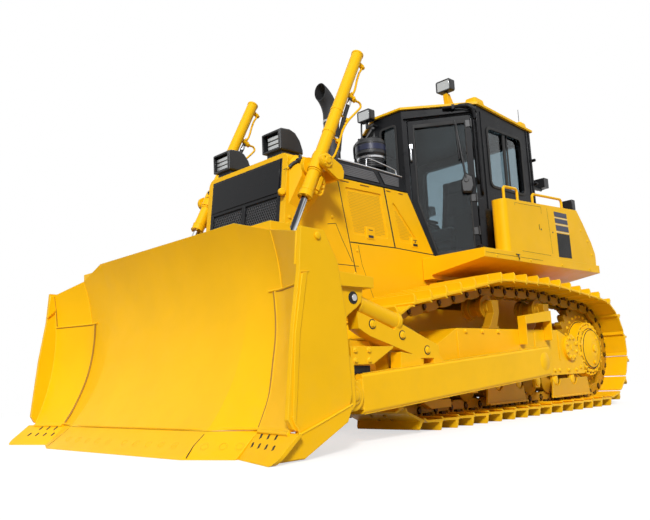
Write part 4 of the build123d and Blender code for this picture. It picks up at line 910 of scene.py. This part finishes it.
# cable bundle from the roof lamps down the corner, with its clips
trim.pipe([at_door(*p) for p in ((420, 3012, 14), (520, 3006, 40), (620, 3000, 58), (690, 2985, 66), (716, 2940, 62),
                                 (722, 2860, 56))], 17, 12)
trim.pipe([at_door(*p) for p in ((560, 3030, 10), (640, 3026, 42), (706, 3004, 48), (736, 2950, 52))], 11, 10)
for along, z, reach in ((520, 3006, 60), (690, 2985, 74)):
    door_block(trim, (along - 14, along + 14), (z - 26, z + 22), (-4, reach))
# pillars' pressed ribs, the catches at the rear quarter, and the air horn by the foot of the box
for y in (842, 1708, 1760):
    trim.block((CAB_X - 2, y, 1960), (CAB_X + 7, y + 18, 2960))
for z in (2620, 2360):
    trim.turned([(0, 17), (40, 17), (46, 12)], (CAB_X - 1, 1790, z), sides=14)
trim.turned([(0, 40), (90, 44), (104, 34)], (905, 560, 1506), (0, -1, 0.1), 20)
trim.both_sides().fit("cab_grab_tubes", "root", black, "black", edge=2)

for word, side in SIDES:
    body = f"cab_door_{word}"
    # wiper arm with its blade, and the motor's six-sided cover
    gear = Piece().bar(at_door(593, 2250, 34), at_door(535, 2840, 10), 11, 8)
    gear.bar(at_door(547, 2480, 2), at_door(525, 2880, 2), 9, 8)
    gear.bar(at_door(593, 2250, 30), at_door(593, 2250, 48), 22, 14)
    cover = ((547, 2130), (635, 2120), (667, 2190), (657, 2290), (587, 2330), (539, 2240))
    gear.skin([[at_door(602 + (a - 602) * k, 2215 + (z - 2215) * k, out) for a, z in cover]
               for k, out in ((1.0, -6), (1.0, 26), (0.82, 40))])
    # hinges on the rear edge and the door's pull
    for z in (1700, 2030, 2790):
        gear.bar(at_door(683, z, 4), at_door(683, z + 90, 4), 12, 12)
        door_block(gear, (627, 681), (z + 10, z + 80), (-6, 5))
    gear.on_side(side).fit(f"door_wiper_{word}", body, charcoal, "black", edge=2)
    pull = Piece().pipe([at_door(*p) for p in ((78, 2640, -2), (78, 2640, 24), (76, 2600, 30), (75, 2530, 30),
                                               (76, 2500, 24), (76, 2500, -2))], 9, 10)
    door_block(pull, (62, 94), (2630, 2680), (-6, 8))
    pull.on_side(side).fit(f"door_pull_{word}", body, ALLOY, "chrome", edge=1.5)
    inner_edge = ((113, 2867), (113, 2090), (268, 1548), (626, 1548), (626, 2867))
    seal = Piece().skin([[at_door(380 + (a - 380) * k, 2200 + (z - 2200) * k, out) for a, z in inner_edge]
                         for k, out in ((1.02, -5), (1.02, 1), (0.965, 1), (0.965, -26))], closed=True)
    seal.on_side(side).fit(f"door_seal_{word}", body, RUBBER, "trim", edge=2)

# grey lining under the roof, which slopes down to the rear
ROOF_FALL = 0.0734
plan = [(165, 434), (728, 822), (728, 1734), (-728, 1734), (-728, 822), (-165, 434)]
lining = Piece().skin([[(x, y, 3042 - (y - CAB_FRONT) * ROOF_FALL - down) for x, y in plan] for down in (0, 24)])
lining.fit("roof_lining", "root", charcoal, "trim", edge=4)

# roof: lamp feet in yellow, lenses, the hoop under the front lamp and the radio mast
roof = Piece().block((470, 700, 3068), (560, 816, 3074))
roof.plate([(692, 3076), (818, 3066), (797, 3092), (730, 3196), (680, 3196)], 489, 541)
roof.turned([(0, 46), (14, 44), (30, 20), (44, 16)], (700, 1780, 2984), UP, 18)
roof.fit("roof_lamp_brackets", edge=2)
REAR_LAMP = (770, 2034, 2397)
glasses = Piece().turned([(6, 46), (14, 44), (18, 30)], REAR_LAMP, BACK, 24).both_sides()
rims = Piece().turned([(-30, 56), (4, 58), (10, 56)], REAR_LAMP, BACK, 28).both_sides()
for x, front, z in ((515, 664, 3276), (-228, 264, 3092)):
    glasses.block((x - 74, front - 5, z - 48), (x + 74, front + 2, z + 48))
    rims.skin([[(px, front + dy, pz) for px, pz in rounded_frame(x, z, 176, 120, 20, inset)]
               for inset, dy in ((0, 6), (0, -8), (11, -8), (13, 1))], closed=True)
glasses.fit("work_lamp_lenses", "root", LENS, "lamp", edge=2)
rims.fit("work_lamp_rims", "root", charcoal, "lamp", edge=1.5)
mast = Piece().pipe([(-296, 300, 3050), (-302, 300, 3020), (-306, 300, 2960), (-306, 300, 2900), (-302, 304, 2868),
                     (-270, 320, 2862), (-200, 358, 2862), (-150, 372, 2862)], 10, 10)
mast.bar((700, 1780, 3020), (700, 1780, 3230), 3.2, 8)
mast.fit("radio_mast", "root", charcoal, "trim", edge=0)

# -------- seat and controls
# The operator's seat is foam under woven cloth: a crowned cushion and a bolstered back with
# sewn channels, on a plastic suspension base, between two consoles with control levers.


def woven(name, colour):
    """Black upholstery cloth: a fine plain weave of warp and weft, with a soft sheen."""
    material, tree = new_finish(name)
    place = add(tree, "TexCoord", take="Object")
    threads = [add(tree, "TexWave", Vector=place, Scale=110.0, Distortion=0.6, bands_direction=way, take="Fac")
               for way in ("X", "Z")]
    weave = add(tree, "Math", *threads, operation="MAXIMUM")
    shade = blend(tree, 1.0, (*colour, 1), spread(tree, weave, 0.6, 1.25, 0.0, 1.0), "MULTIPLY")
    bump = add(tree, "Bump", Strength=0.6, Distance=0.0008, Height=weave)
    return surfaced(material, tree, Base_Color=shade, Roughness=0.9, Normal=bump, Sheen_Weight=0.35)


CLOTH = woven("seat_cloth", (0.035, 0.037, 0.042))
VOXEL, CAP, PRESSURE, SWELL_STEPS = 0.012, 0.018, 4.0, 20
# sewn channels: how deep they are drawn across and along the seat, and how wide they run
ACROSS_DEPTH, ALONG_DEPTH, CHANNEL = 0.008, 0.010, 0.009


def stuffed(name, size, place, lean=0.0):
    """A sewn cover blown up round its foam: a rounded block, swollen as cloth by at most the cap."""
    w, d, h = (s / 2 * MM for s in size)
    mesh = bmesh.new()
    bmesh.ops.create_cube(mesh, size=1.0)
    bmesh.ops.scale(mesh, vec=(2 * w, 2 * d, 2 * h), verts=mesh.verts)
    bmesh.ops.bevel(mesh, geom=mesh.edges, offset=min(w, d, h) * 0.5, segments=3, profile=0.5, affect="EDGES")
    data = bpy.data.meshes.new(name)
    mesh.to_mesh(data)
    mesh.free()
    pad = put(name, data)
    remesh = pad.modifiers.new("even_mesh", "REMESH")
    remesh.mode, remesh.voxel_size = "VOXEL", VOXEL
    pad.data = settled(pad)
    pad.modifiers.clear()
    before = [v.co.copy() for v in pad.data.vertices]
    cloth = pad.modifiers.new("swell", "CLOTH").settings
    cloth.use_pressure, cloth.uniform_pressure_force = True, PRESSURE
    cloth.effector_weights.gravity = 0.0
    for step in range(SWELL_STEPS):
        scene.frame_set(step + 1)
    grown = settled(pad)
    for rest, vertex in zip(before, grown.vertices):
        moved = vertex.co - rest
        if moved.length > CAP:
            vertex.co = rest + moved.normalized() * CAP
    pad.modifiers.clear()
    pad.data = grown
    scene.frame_set(1)
    for vertex in pad.data.vertices:
        x, y = vertex.co.x, vertex.co.y
        for away, depth in [(y - k * d, ACROSS_DEPTH) for k in (-0.42, 0.42)] + \
                [(x - k * w, ALONG_DEPTH) for k in (-0.55, 0.55)]:
            if vertex.co.z > 0:
                vertex.co.z -= depth * 2.718 ** (-(away / CHANNEL) ** 2)
    pad.data.transform(Matrix.Translation(Vector(place) * MM) @ Matrix.Rotation(lean, 4, "X"))
    pad.data.polygons.foreach_set("use_smooth", [True] * len(pad.data.polygons))
    pad.data.materials.clear()
    pad.data.materials.append(CLOTH)
    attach(pad, "root")
    return pad


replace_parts(stuffed("seat_cushion", (484, 464, 104), (0, 1230, 1855)), "operator_seat")
stuffed("seat_back", (464, 620, 78), (0, 1535, 2262), atan2(1, 0.16))
# armrests on bent tubes, the stepped base under its cushion, and the bellows round it
shell = Piece().pipe([(246, 1470, 1800), (252, 1480, 1980), (250, 1440, 2060), (248, 1250, 2070)], 16, 12)
shell.block((226, 1130, 2070), (272, 1420, 2102)).both_sides()
shell.skin([[(*p, z) for p in oblong(-w, 1240 - d, w, 1240 + d)] for z, w, d in
            ((1456, 168, 158), (1490, 168, 158), (1500, 140, 140), (1700, 140, 140), (1710, 165, 155),
             (1786, 168, 158))])
for z in range(1520, 1700, 24):
    shell.block((-150, 1092, z), (150, 1388, z + 12))
shell.fit("seat_base", "root", charcoal, "trim", edge=5, steps=3)

controls, knobs = Piece(), Piece()
for side, lean in ((1, -30), (-1, -20)):
    controls.bar((side * 440, 1120, 2080), (side * 432, 1120 + lean, 2230), 11, 10)
    knobs.turned([(0, 17), (14, 26), (60, 28), (86, 22), (96, 12)], (side * 432, 1120 + lean, 2220),
                 (side * -0.05, -0.2, 1), 18)
    controls.turned([(0, 34), (10, 30), (26, 16)], (side * 440, 1120, 2072), UP, 18)
    for x in range(side * 440 - 60, side * 440 + 60, 34):
        controls.block((x, 1330, 2082), (x + 20, 1362, 2096))
# display on its post, and the two pedals
controls.block((-150, 470, 2130), (150, 486, 2330)).bar((0, 470, 2080), (0, 478, 2180), 16, 12)
for x in (-160, 60):
    controls.block((x, 520, 1490), (x + 100, 640, 1502))
controls.fit("cab_controls", "root", charcoal, "trim", edge=2.5)
knobs.fit("lever_knobs", "root", RUBBER, "trim", edge=0)
DISPLAY = moulding("monitor_glass", (0.02, 0.03, 0.035), 0.12)
Piece().block((-132, 485, 2150), (132, 489, 2312)).fit("monitor_glass", "root", DISPLAY, "trim", edge=0)

# -------- blade
# The mouldboard is rolled plate with folded wings. Wear plates are welded on the wings and
# end plates; hardened edges and slotted end bits are bolted along its foot.
FOLD_X, WING_X, END_X = 1237, 1616, 1646
board, edges = surface_of("moldboard"), surface_of("cutting_edge", "end_bits")


def on_board(x, z, proud=0.0):
    spot, face = touch(board, (x, -3000, z), BACK)
    return spot + face * proud


def on_edge(x, z):
    return touch(edges, (x, -3200, z), BACK)


def bead(piece, spots, proud, radius, sides=6):
    """A weld bead laid over the board through (x, z) spots."""
    return piece.pipe([on_board(*spot, proud) for spot in spots], radius, sides)


wear, beads, lines = Piece(), Piece(), Piece()
# where the wing's wear plate starts, at each height, and how far up its outer weld runs
WEAR_EDGE = [(1262, 152), (1252, 240), (1244, 330), (1222, 430), (1206, 530), (1202, 640), (1196, 745), (1186, 850),
             (1178, 955)]
OUTER_WELD = (160, 260, 400, 560, 720, 880, 1040, 1180, 1230)
columns = [([x0 + (WING_X - 1 - x0) * c / 6 for c in range(7)], z) for x0, z in WEAR_EDGE]
wear.skin([[on_board(x, z, 7.0) for x in xs] + [on_board(x, z, -3.0) for x in xs[::-1]] for xs, z in columns])
# weld beads: along the plate's top, up the fold and where the end plate meets the wing
bead(beads, [(x, 962) for x in (1120, 1180, 1240, 1330, 1450, 1560, 1612)], 3, 7)
bead(beads, [(FOLD_X, z) for z in (960, 1060, 1160, 1260, 1316)], 1, 5)
bead(beads, [(WING_X - 4, z) for z in OUTER_WELD], 3, 7)
bead(beads, [(x0 - 2, z) for x0, z in WEAR_EDGE], 3, 6)
# painted shadows: thin brown lines along the inner side of the beads, on the wear plate, under the top bead and inside
# the outer weld
bead(lines, [(x0 - 11, z) for x0, z in WEAR_EDGE], 3, 8)
bead(lines, [(x, 952) for x in (1190, 1240, 1330, 1450, 1560, 1612)], 7, 3)
bead(lines, [(WING_X - 14, z) for z in OUTER_WELD], 2, 3)
# outside of the end plate: lower wear strip, doubler and the bead along it
wear.plate([(-2634, 14), (-2508, 130), (-2092, 262), (-2138, 172), (-2470, 12)], END_X - 1, END_X + 9)
wear.plate([(-2540, 240), (-2504, 660), (-2436, 990), (-2396, 1000), (-2468, 660), (-2516, 240), (-2524, 196)],
           END_X - 1, END_X + 7)
for out, radius, points in ((7, 7, ((-2506, 134), (-2400, 166), (-2250, 214), (-2094, 266))),
                            (4, 6, ((-2544, 232), (-2530, 190), (-2504, 160), (-2500, 140))),
                            (1, 4, ((-2380, 1004), (-2412, 1002), (-2440, 998)))):
    beads.pipe([(END_X + out, *p) for p in points], radius, 6)
# fillet on the ledge over the end bits, then one bead all along the board's foot
beads.pipe([on_board(x, 153, 2) + Vector((0, -9, -13)) for x in (1262, 1330, 1400, 1500, 1560, 1614)], 11, 8)
FOOT_X = (400, 800, 1100, 1230, 1300, 1400, 1500, 1612)
bead(beads.both_sides(), [(x, 153) for x in (*(-x for x in FOOT_X[::-1]), 0, *FOOT_X)], 2, 9, 8)
wear.both_sides().fit("wear_plates", "blade", edge=1.6)
beads.fit("blade_welds", "blade", edge=0)
# brown for the painted shadows beside the beads
BEAD_SHADOW_BROWN = moulding("bead_shadow", (0.34, 0.155, 0.003), 0.6)
lines.both_sides().fit("blade_weld_toes", "blade", BEAD_SHADOW_BROWN, "yellow", edge=0)

# gusset under the board's lip by each end plate, with its pin
lip = Piece().plate([(-2452, 1040), (-2430, 1236), (-2300, 1246), (-2330, 1150)], 1600, 1615)
lip.turned([(0, 22), (8, 22), (10, 18)], (1647, -2304, 1212), sides=16)
lip.both_sides().fit("end_gussets", "blade", edge=3)

SLOT_R, SLOT_HALF, SLOT_LEAN = 9.5, 15, 0.35
slots = Piece()
for row, z in (((1322, 1412, 1502), 118), ((1292, 1382, 1472, 1562), 72)):
    for x in row:
        spot, face = on_edge(x, z)
        across = Vector((1, 0, 0))
        lean = (across.cross(face) + across * SLOT_LEAN).normalized()
        turns = [2 * pi * i / 12 for i in range(12)]
        ring = [lean * (SLOT_R * sin(a) + (SLOT_HALF if sin(a) >= 0 else -SLOT_HALF)) +
                face.cross(lean) * SLOT_R * cos(a) for a in turns]
        slots.skin([[spot + p + face * h for p in ring] for h in (-1.5, 0.8)])
slots.both_sides().fit("end_bit_slots", "blade", gap_and_shade_black, "black", edge=0)
# seams between the middle edge and the outer edges
foot, (middle, way), head = on_edge(904, 12)[0], on_edge(902, 70), on_edge(900, 130)[0]
edge_lines = Piece().seam([(936, foot.y, 12), middle, head], way, 5)
edge_lines.both_sides().fit("cutting_edge_seams", "blade", gap_and_shade_black, "black", edge=0)
countersunk = Piece().skin([[(r * cos(2 * pi * i / 20), r * sin(2 * pi * i / 20), z) for i in range(20)]
                            for r, z in ((27, -1), (27, 1.2), (23, 1.2), (22, -0.2))], closed=True)
bolt_heads = mirrored([on_edge(x, 66) for x in (*range(110, 860, 150), 977, 1097, 1200)])
fit_row("cutting_edge_bolts", countersunk, bolt_heads, "blade")

# -------- push arms and tilt link
# Box arms run from trunnions on the track frames to pins behind the blade. The tilt link
# lies over the left arm's front end, with the plain brace on the right.
ARM_X, LINK_PIN = 1368, (-1828, 903)
LINK_BOLTS = ((-1624, 745), (-1330, 676), (-1070, 574))
joints = Piece()
# pin caps on the arm's front eye and on the tilt link's ears, and the trunnion's outer cap
joints.turned([(0, 60), (9, 60), (14, 52)], (ARM_X + 109, -1900, 305), sides=28)
joints.turned([(0, 30), (12, 30), (15, 24)], (ARM_X + 123, -1900, 305), sides=20)
joints.turned([(0, 76), (10, 76), (16, 66)], (ARM_X + 71, 480, 463), sides=28)
# bolted inner plate under the link, and weld beads along the arm's upper and lower seams
joints.plate([(-1852, 490), (-1652, 490), (-1452, 588), (-1446, 602), (-1852, 602)], ARM_X + 50, ARM_X + 62)
for up in (123, -123):
    joints.pipe([(ARM_X + 70, y, 310 + up + 158 * (y + 1780) / 2350) for y in
                 (-1770, -1400, -1000, -500, 0, 400, 560)], 3.5, 6)
joints.both_sides()
# gland rings of the tilt cylinder, and the plain brace's collars
for x, radius in ((ARM_X, 62), (-ARM_X, 48)):
    joints.bar((x, -1735, 877), (x, -1712, 870), radius + 5, 24)
    joints.bar((x, -1372, 771), (x, -1340, 762), radius + 4, 24)
joints.fit("arm_joints", "blade", edge=2)
arm_bolts = outside(ARM_X + 46, LINK_BOLTS, 1.25)
arm_bolts += outside(ARM_X + 62, [(y, z) for y in (-1816, -1690) for z in (516, 578)], 0.9)
link_pins = Piece().turned([(0, 22), (14, 22), (17, 17)], (ARM_X + 80, *LINK_PIN), sides=20)
link_pins.both_sides().fit("tilt_pin_ends", "blade", steel, "chrome", edge=0)
fit_row("arm_bolts", hex_head(30, 14), arm_bolts, "blade")
# painted shade: dark rings in the recess round the tilt link's pin and the bolts, and a dark plate for the shaded gap
# under the inner plate
recess_shade = Piece().turned([(-2, 40), (3, 40), (4, 36)], (ARM_X + 80, *LINK_PIN))
for spot in LINK_BOLTS:
    recess_shade.turned([(0, 33), (2.5, 33), (3, 30)], (ARM_X + 46, *spot), sides=20)
recess_shade.block((ARM_X - 30, -1858, 436), (ARM_X + 34, -1655, 484))
recess_shade.both_sides().fit("link_washers", "blade", gap_and_shade_black, "black", edge=0)

# -------- lift cylinders
# Long slim cylinders swing in forks on the guard. Their rods are hard chrome. Steel pipes
# painted with the tube, and one hose with crimped ends, feed the far end from the trunnion.
LIFT_X, PIVOT_YZ, ROD_EYE = 708, Vector(FORK_PIN), Vector((-1951, 880))
DOWN = (ROD_EYE - PIVOT_YZ).normalized()
ASTERN = Vector((-DOWN.y, DOWN.x))
TUBE_AXIS, BEHIND = Vector((0, *DOWN)), Vector((0, *ASTERN))
TUBE_TOP, TUBE_END, GLAND_R = -1187, 317, 44
PORT_TOP, PORT_END, SWIVEL, PIPE_R = -1117, 222, -770, 9.5


def chrome_plate(name):
    """Hard chrome, ground and polished: long dark and light streaks along its length are painted reflections."""
    material, tree = new_finish(name)
    place = add(tree, "TexCoord", take="Object")
    along = add(tree, "Mapping", vector_type="TEXTURE", Vector=place, Scale=(0.022, 0.022, 1.0),
                Rotation=(atan2(DOWN.x, -DOWN.y), 0, 0))
    # painted reflections: noise laid out along the rod, ramped from dark to light stripes
    shade = add(tree, "ValToRGB", noise(tree, along, 1.0))
    stops = zip(shade.node.color_ramp.elements, (0.44, 0.58), ((0.035, 0.036, 0.04, 1), (0.74, 0.75, 0.77, 1)))
    for stop, position, colour in stops:
        stop.position, stop.color = position, colour
    bump = add(tree, "Bump", Strength=0.1, Distance=0.0001, Height=noise(tree, place, 300.0))
    return surfaced(material, tree, Base_Color=shade, Metallic=1.0, Roughness=0.14, Normal=bump)


dress(chrome_plate("hard_chrome"), "lift_rod_left", "lift_rod_right")


def by_tube(along, behind=0.0, aside=0.0):
    """A point by the left cylinder: down it from the trunnion, behind it, and to its outer side."""
    return Vector((LIFT_X + aside, *(PIVOT_YZ + DOWN * along + ASTERN * behind)))


for word, side in SIDES:
    body = f"lift_tube_{word}"
    gear = Piece().turned([(0, 30), (7, 30), (12, 20)], by_tube(TUBE_TOP), -TUBE_AXIS, 20)
    for along, r, length in ((TUBE_TOP - 2, 53, 22), (-98, 56, 26), (72, 56, 16), (258, 57, 14),
                             (TUBE_END - 6, 58, 12)):
        gear.turned([(0, r - 4), (4, r), (length - 4, r), (length, r - 4)], by_tube(along), TUBE_AXIS, 28)
    # bands round the tube with saddles that carry the pipes behind it
    for along, reach in ((-560, 122), (-330, 112)):
        gear.turned([(0, 50), (2, 53), (26, 53), (28, 50)], by_tube(along), TUBE_AXIS, 28)
        gear.bar(by_tube(along + 14, 50), by_tube(along + 14, reach - 10), 9, 10)
        gear.turned([(-15, 18), (15, 18)], by_tube(along + 14, reach), TUBE_AXIS, 12)
    # manifold block between the trunnion and the rod end
    gear.skin([[by_tube(*p, aside) for p in ((76, 50), (214, 50), (206, 84), (88, 84))] for aside in (-28, 28)])
    gear.on_side(side).fit(f"lift_clamps_{word}", body, edge=1.6)
    # pipes down from the tube's top and the swivel, and low-pressure pipes from the rod end
    pipes = Piece()
    for run in (((PORT_TOP, 84), (PORT_TOP + 24, 92), (PORT_TOP + 70, 80), (-960, 84), (-890, 96), (-840, 98),
                 (-800, 90), (-776, 84)),
                ((SWIVEL, 106), (-778, 150), (-798, 184), (-776, 216), (-735, 204), (-640, 168), (-546, 128, 14),
                 (-437, 104, 20), (-316, 112, 20), (-234, 119, 20), (-160, 112, 24), (-106, 92, 24), (-88, 50, 24)),
                ((PORT_END, 84), (PORT_END, 120), (190, 138), (130, 132), (70, 112), (34, 88), (20, 50))):
        pipes.pipe([by_tube(*p) for p in run], PIPE_R, 10)
    pipes.on_side(side).fit(f"lift_pipes_{word}", body, edge=0)
    nuts = [(by_tube(PORT_TOP, 84), BEHIND, 0.9), (by_tube(SWIVEL, 106), BEHIND, 1.1),
            (by_tube(SWIVEL - 20, 84), -TUBE_AXIS, 0.8)]
    nuts += [(by_tube(along, 84), BEHIND, 1.0) for along in (104, 146, 188)]
    nuts += [(by_tube(along, 112), BEHIND, 0.7) for along in (104, 146)]
    fit_row(f"lift_fittings_{word}", hex_head(34, 30), sided(nuts, side), body)

# pressure hose from the swivel down to the trunnion, crimped in a steel ferrule at each end
HOSE_R, HOSE_LENGTH = 17, 0.692
HOSE_RUN = ((-947.8, 2670.3), (-1050, 2462), (-1096, 2296), (-1122, 2128), (-1261.5, 2096.1))
for word, side in SIDES:
    body = f"lift_tube_{word}"
    knots = [[side * LIFT_X * MM, y * MM, z * MM] for y, z in HOSE_RUN]
    hose = put(f"pressure_hose_{word}", smooth_line(f"pressure_hose_{word}", knots, HOSE_R * MM, 16, 5))
    hose.data.materials.append(RUBBER)
    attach(hose, body)
    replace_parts(hose, f"lift_hose_{word}")
    ferrules = Piece()
    for at, toward, first in ((HOSE_RUN[0], HOSE_RUN[1], 30), (HOSE_RUN[-1], HOSE_RUN[-2], 2)):
        way = (Vector((0, *toward)) - Vector((0, *at))).normalized()
        ferrules.turned([(0, 17.5), (4, 20), (40, 20), (46, 18)], Vector((side * LIFT_X, *at)) + way * first, way, 20)
    crimped = ferrules.fit(f"hose_ferrules_{word}", body, ALLOY, "chrome", edge=0)
    # rigid black elbow beside it, into the trunnion's lower port
    elbow = Piece().pipe([(LIFT_X + 30, *p) for p in ((-1318, 2052), (-1262, 2066), (-1215, 2086), (-1180, 2106),
                                                      (-1164, 2136), (-1150, 2176))], 12, 10)
    elbow.on_side(side).fit(f"lift_elbow_{word}", body, charcoal, "black", edge=0)
    # bolts of the rod-end gland
    turns = [2 * pi * (i + 0.5) / 6 for i in range(6)]
    heads = [(by_tube(TUBE_END + 6, -GLAND_R * sin(a), GLAND_R * cos(a)), TUBE_AXIS, 0.7) for a in turns]
    fit_row(f"gland_bolts_{word}", hex_head(18, 10), sided(heads, side), body)
eye_caps = Piece()
for sign in (1, -1):
    eye_caps.turned([(0, 46), (12, 46), (18, 38)], (LIFT_X + sign * 66, *ROD_EYE), (sign, 0, 0), 24)
eye_caps.both_sides().fit("rod_eye_caps", "blade", edge=2)

scene.frame_set(1)
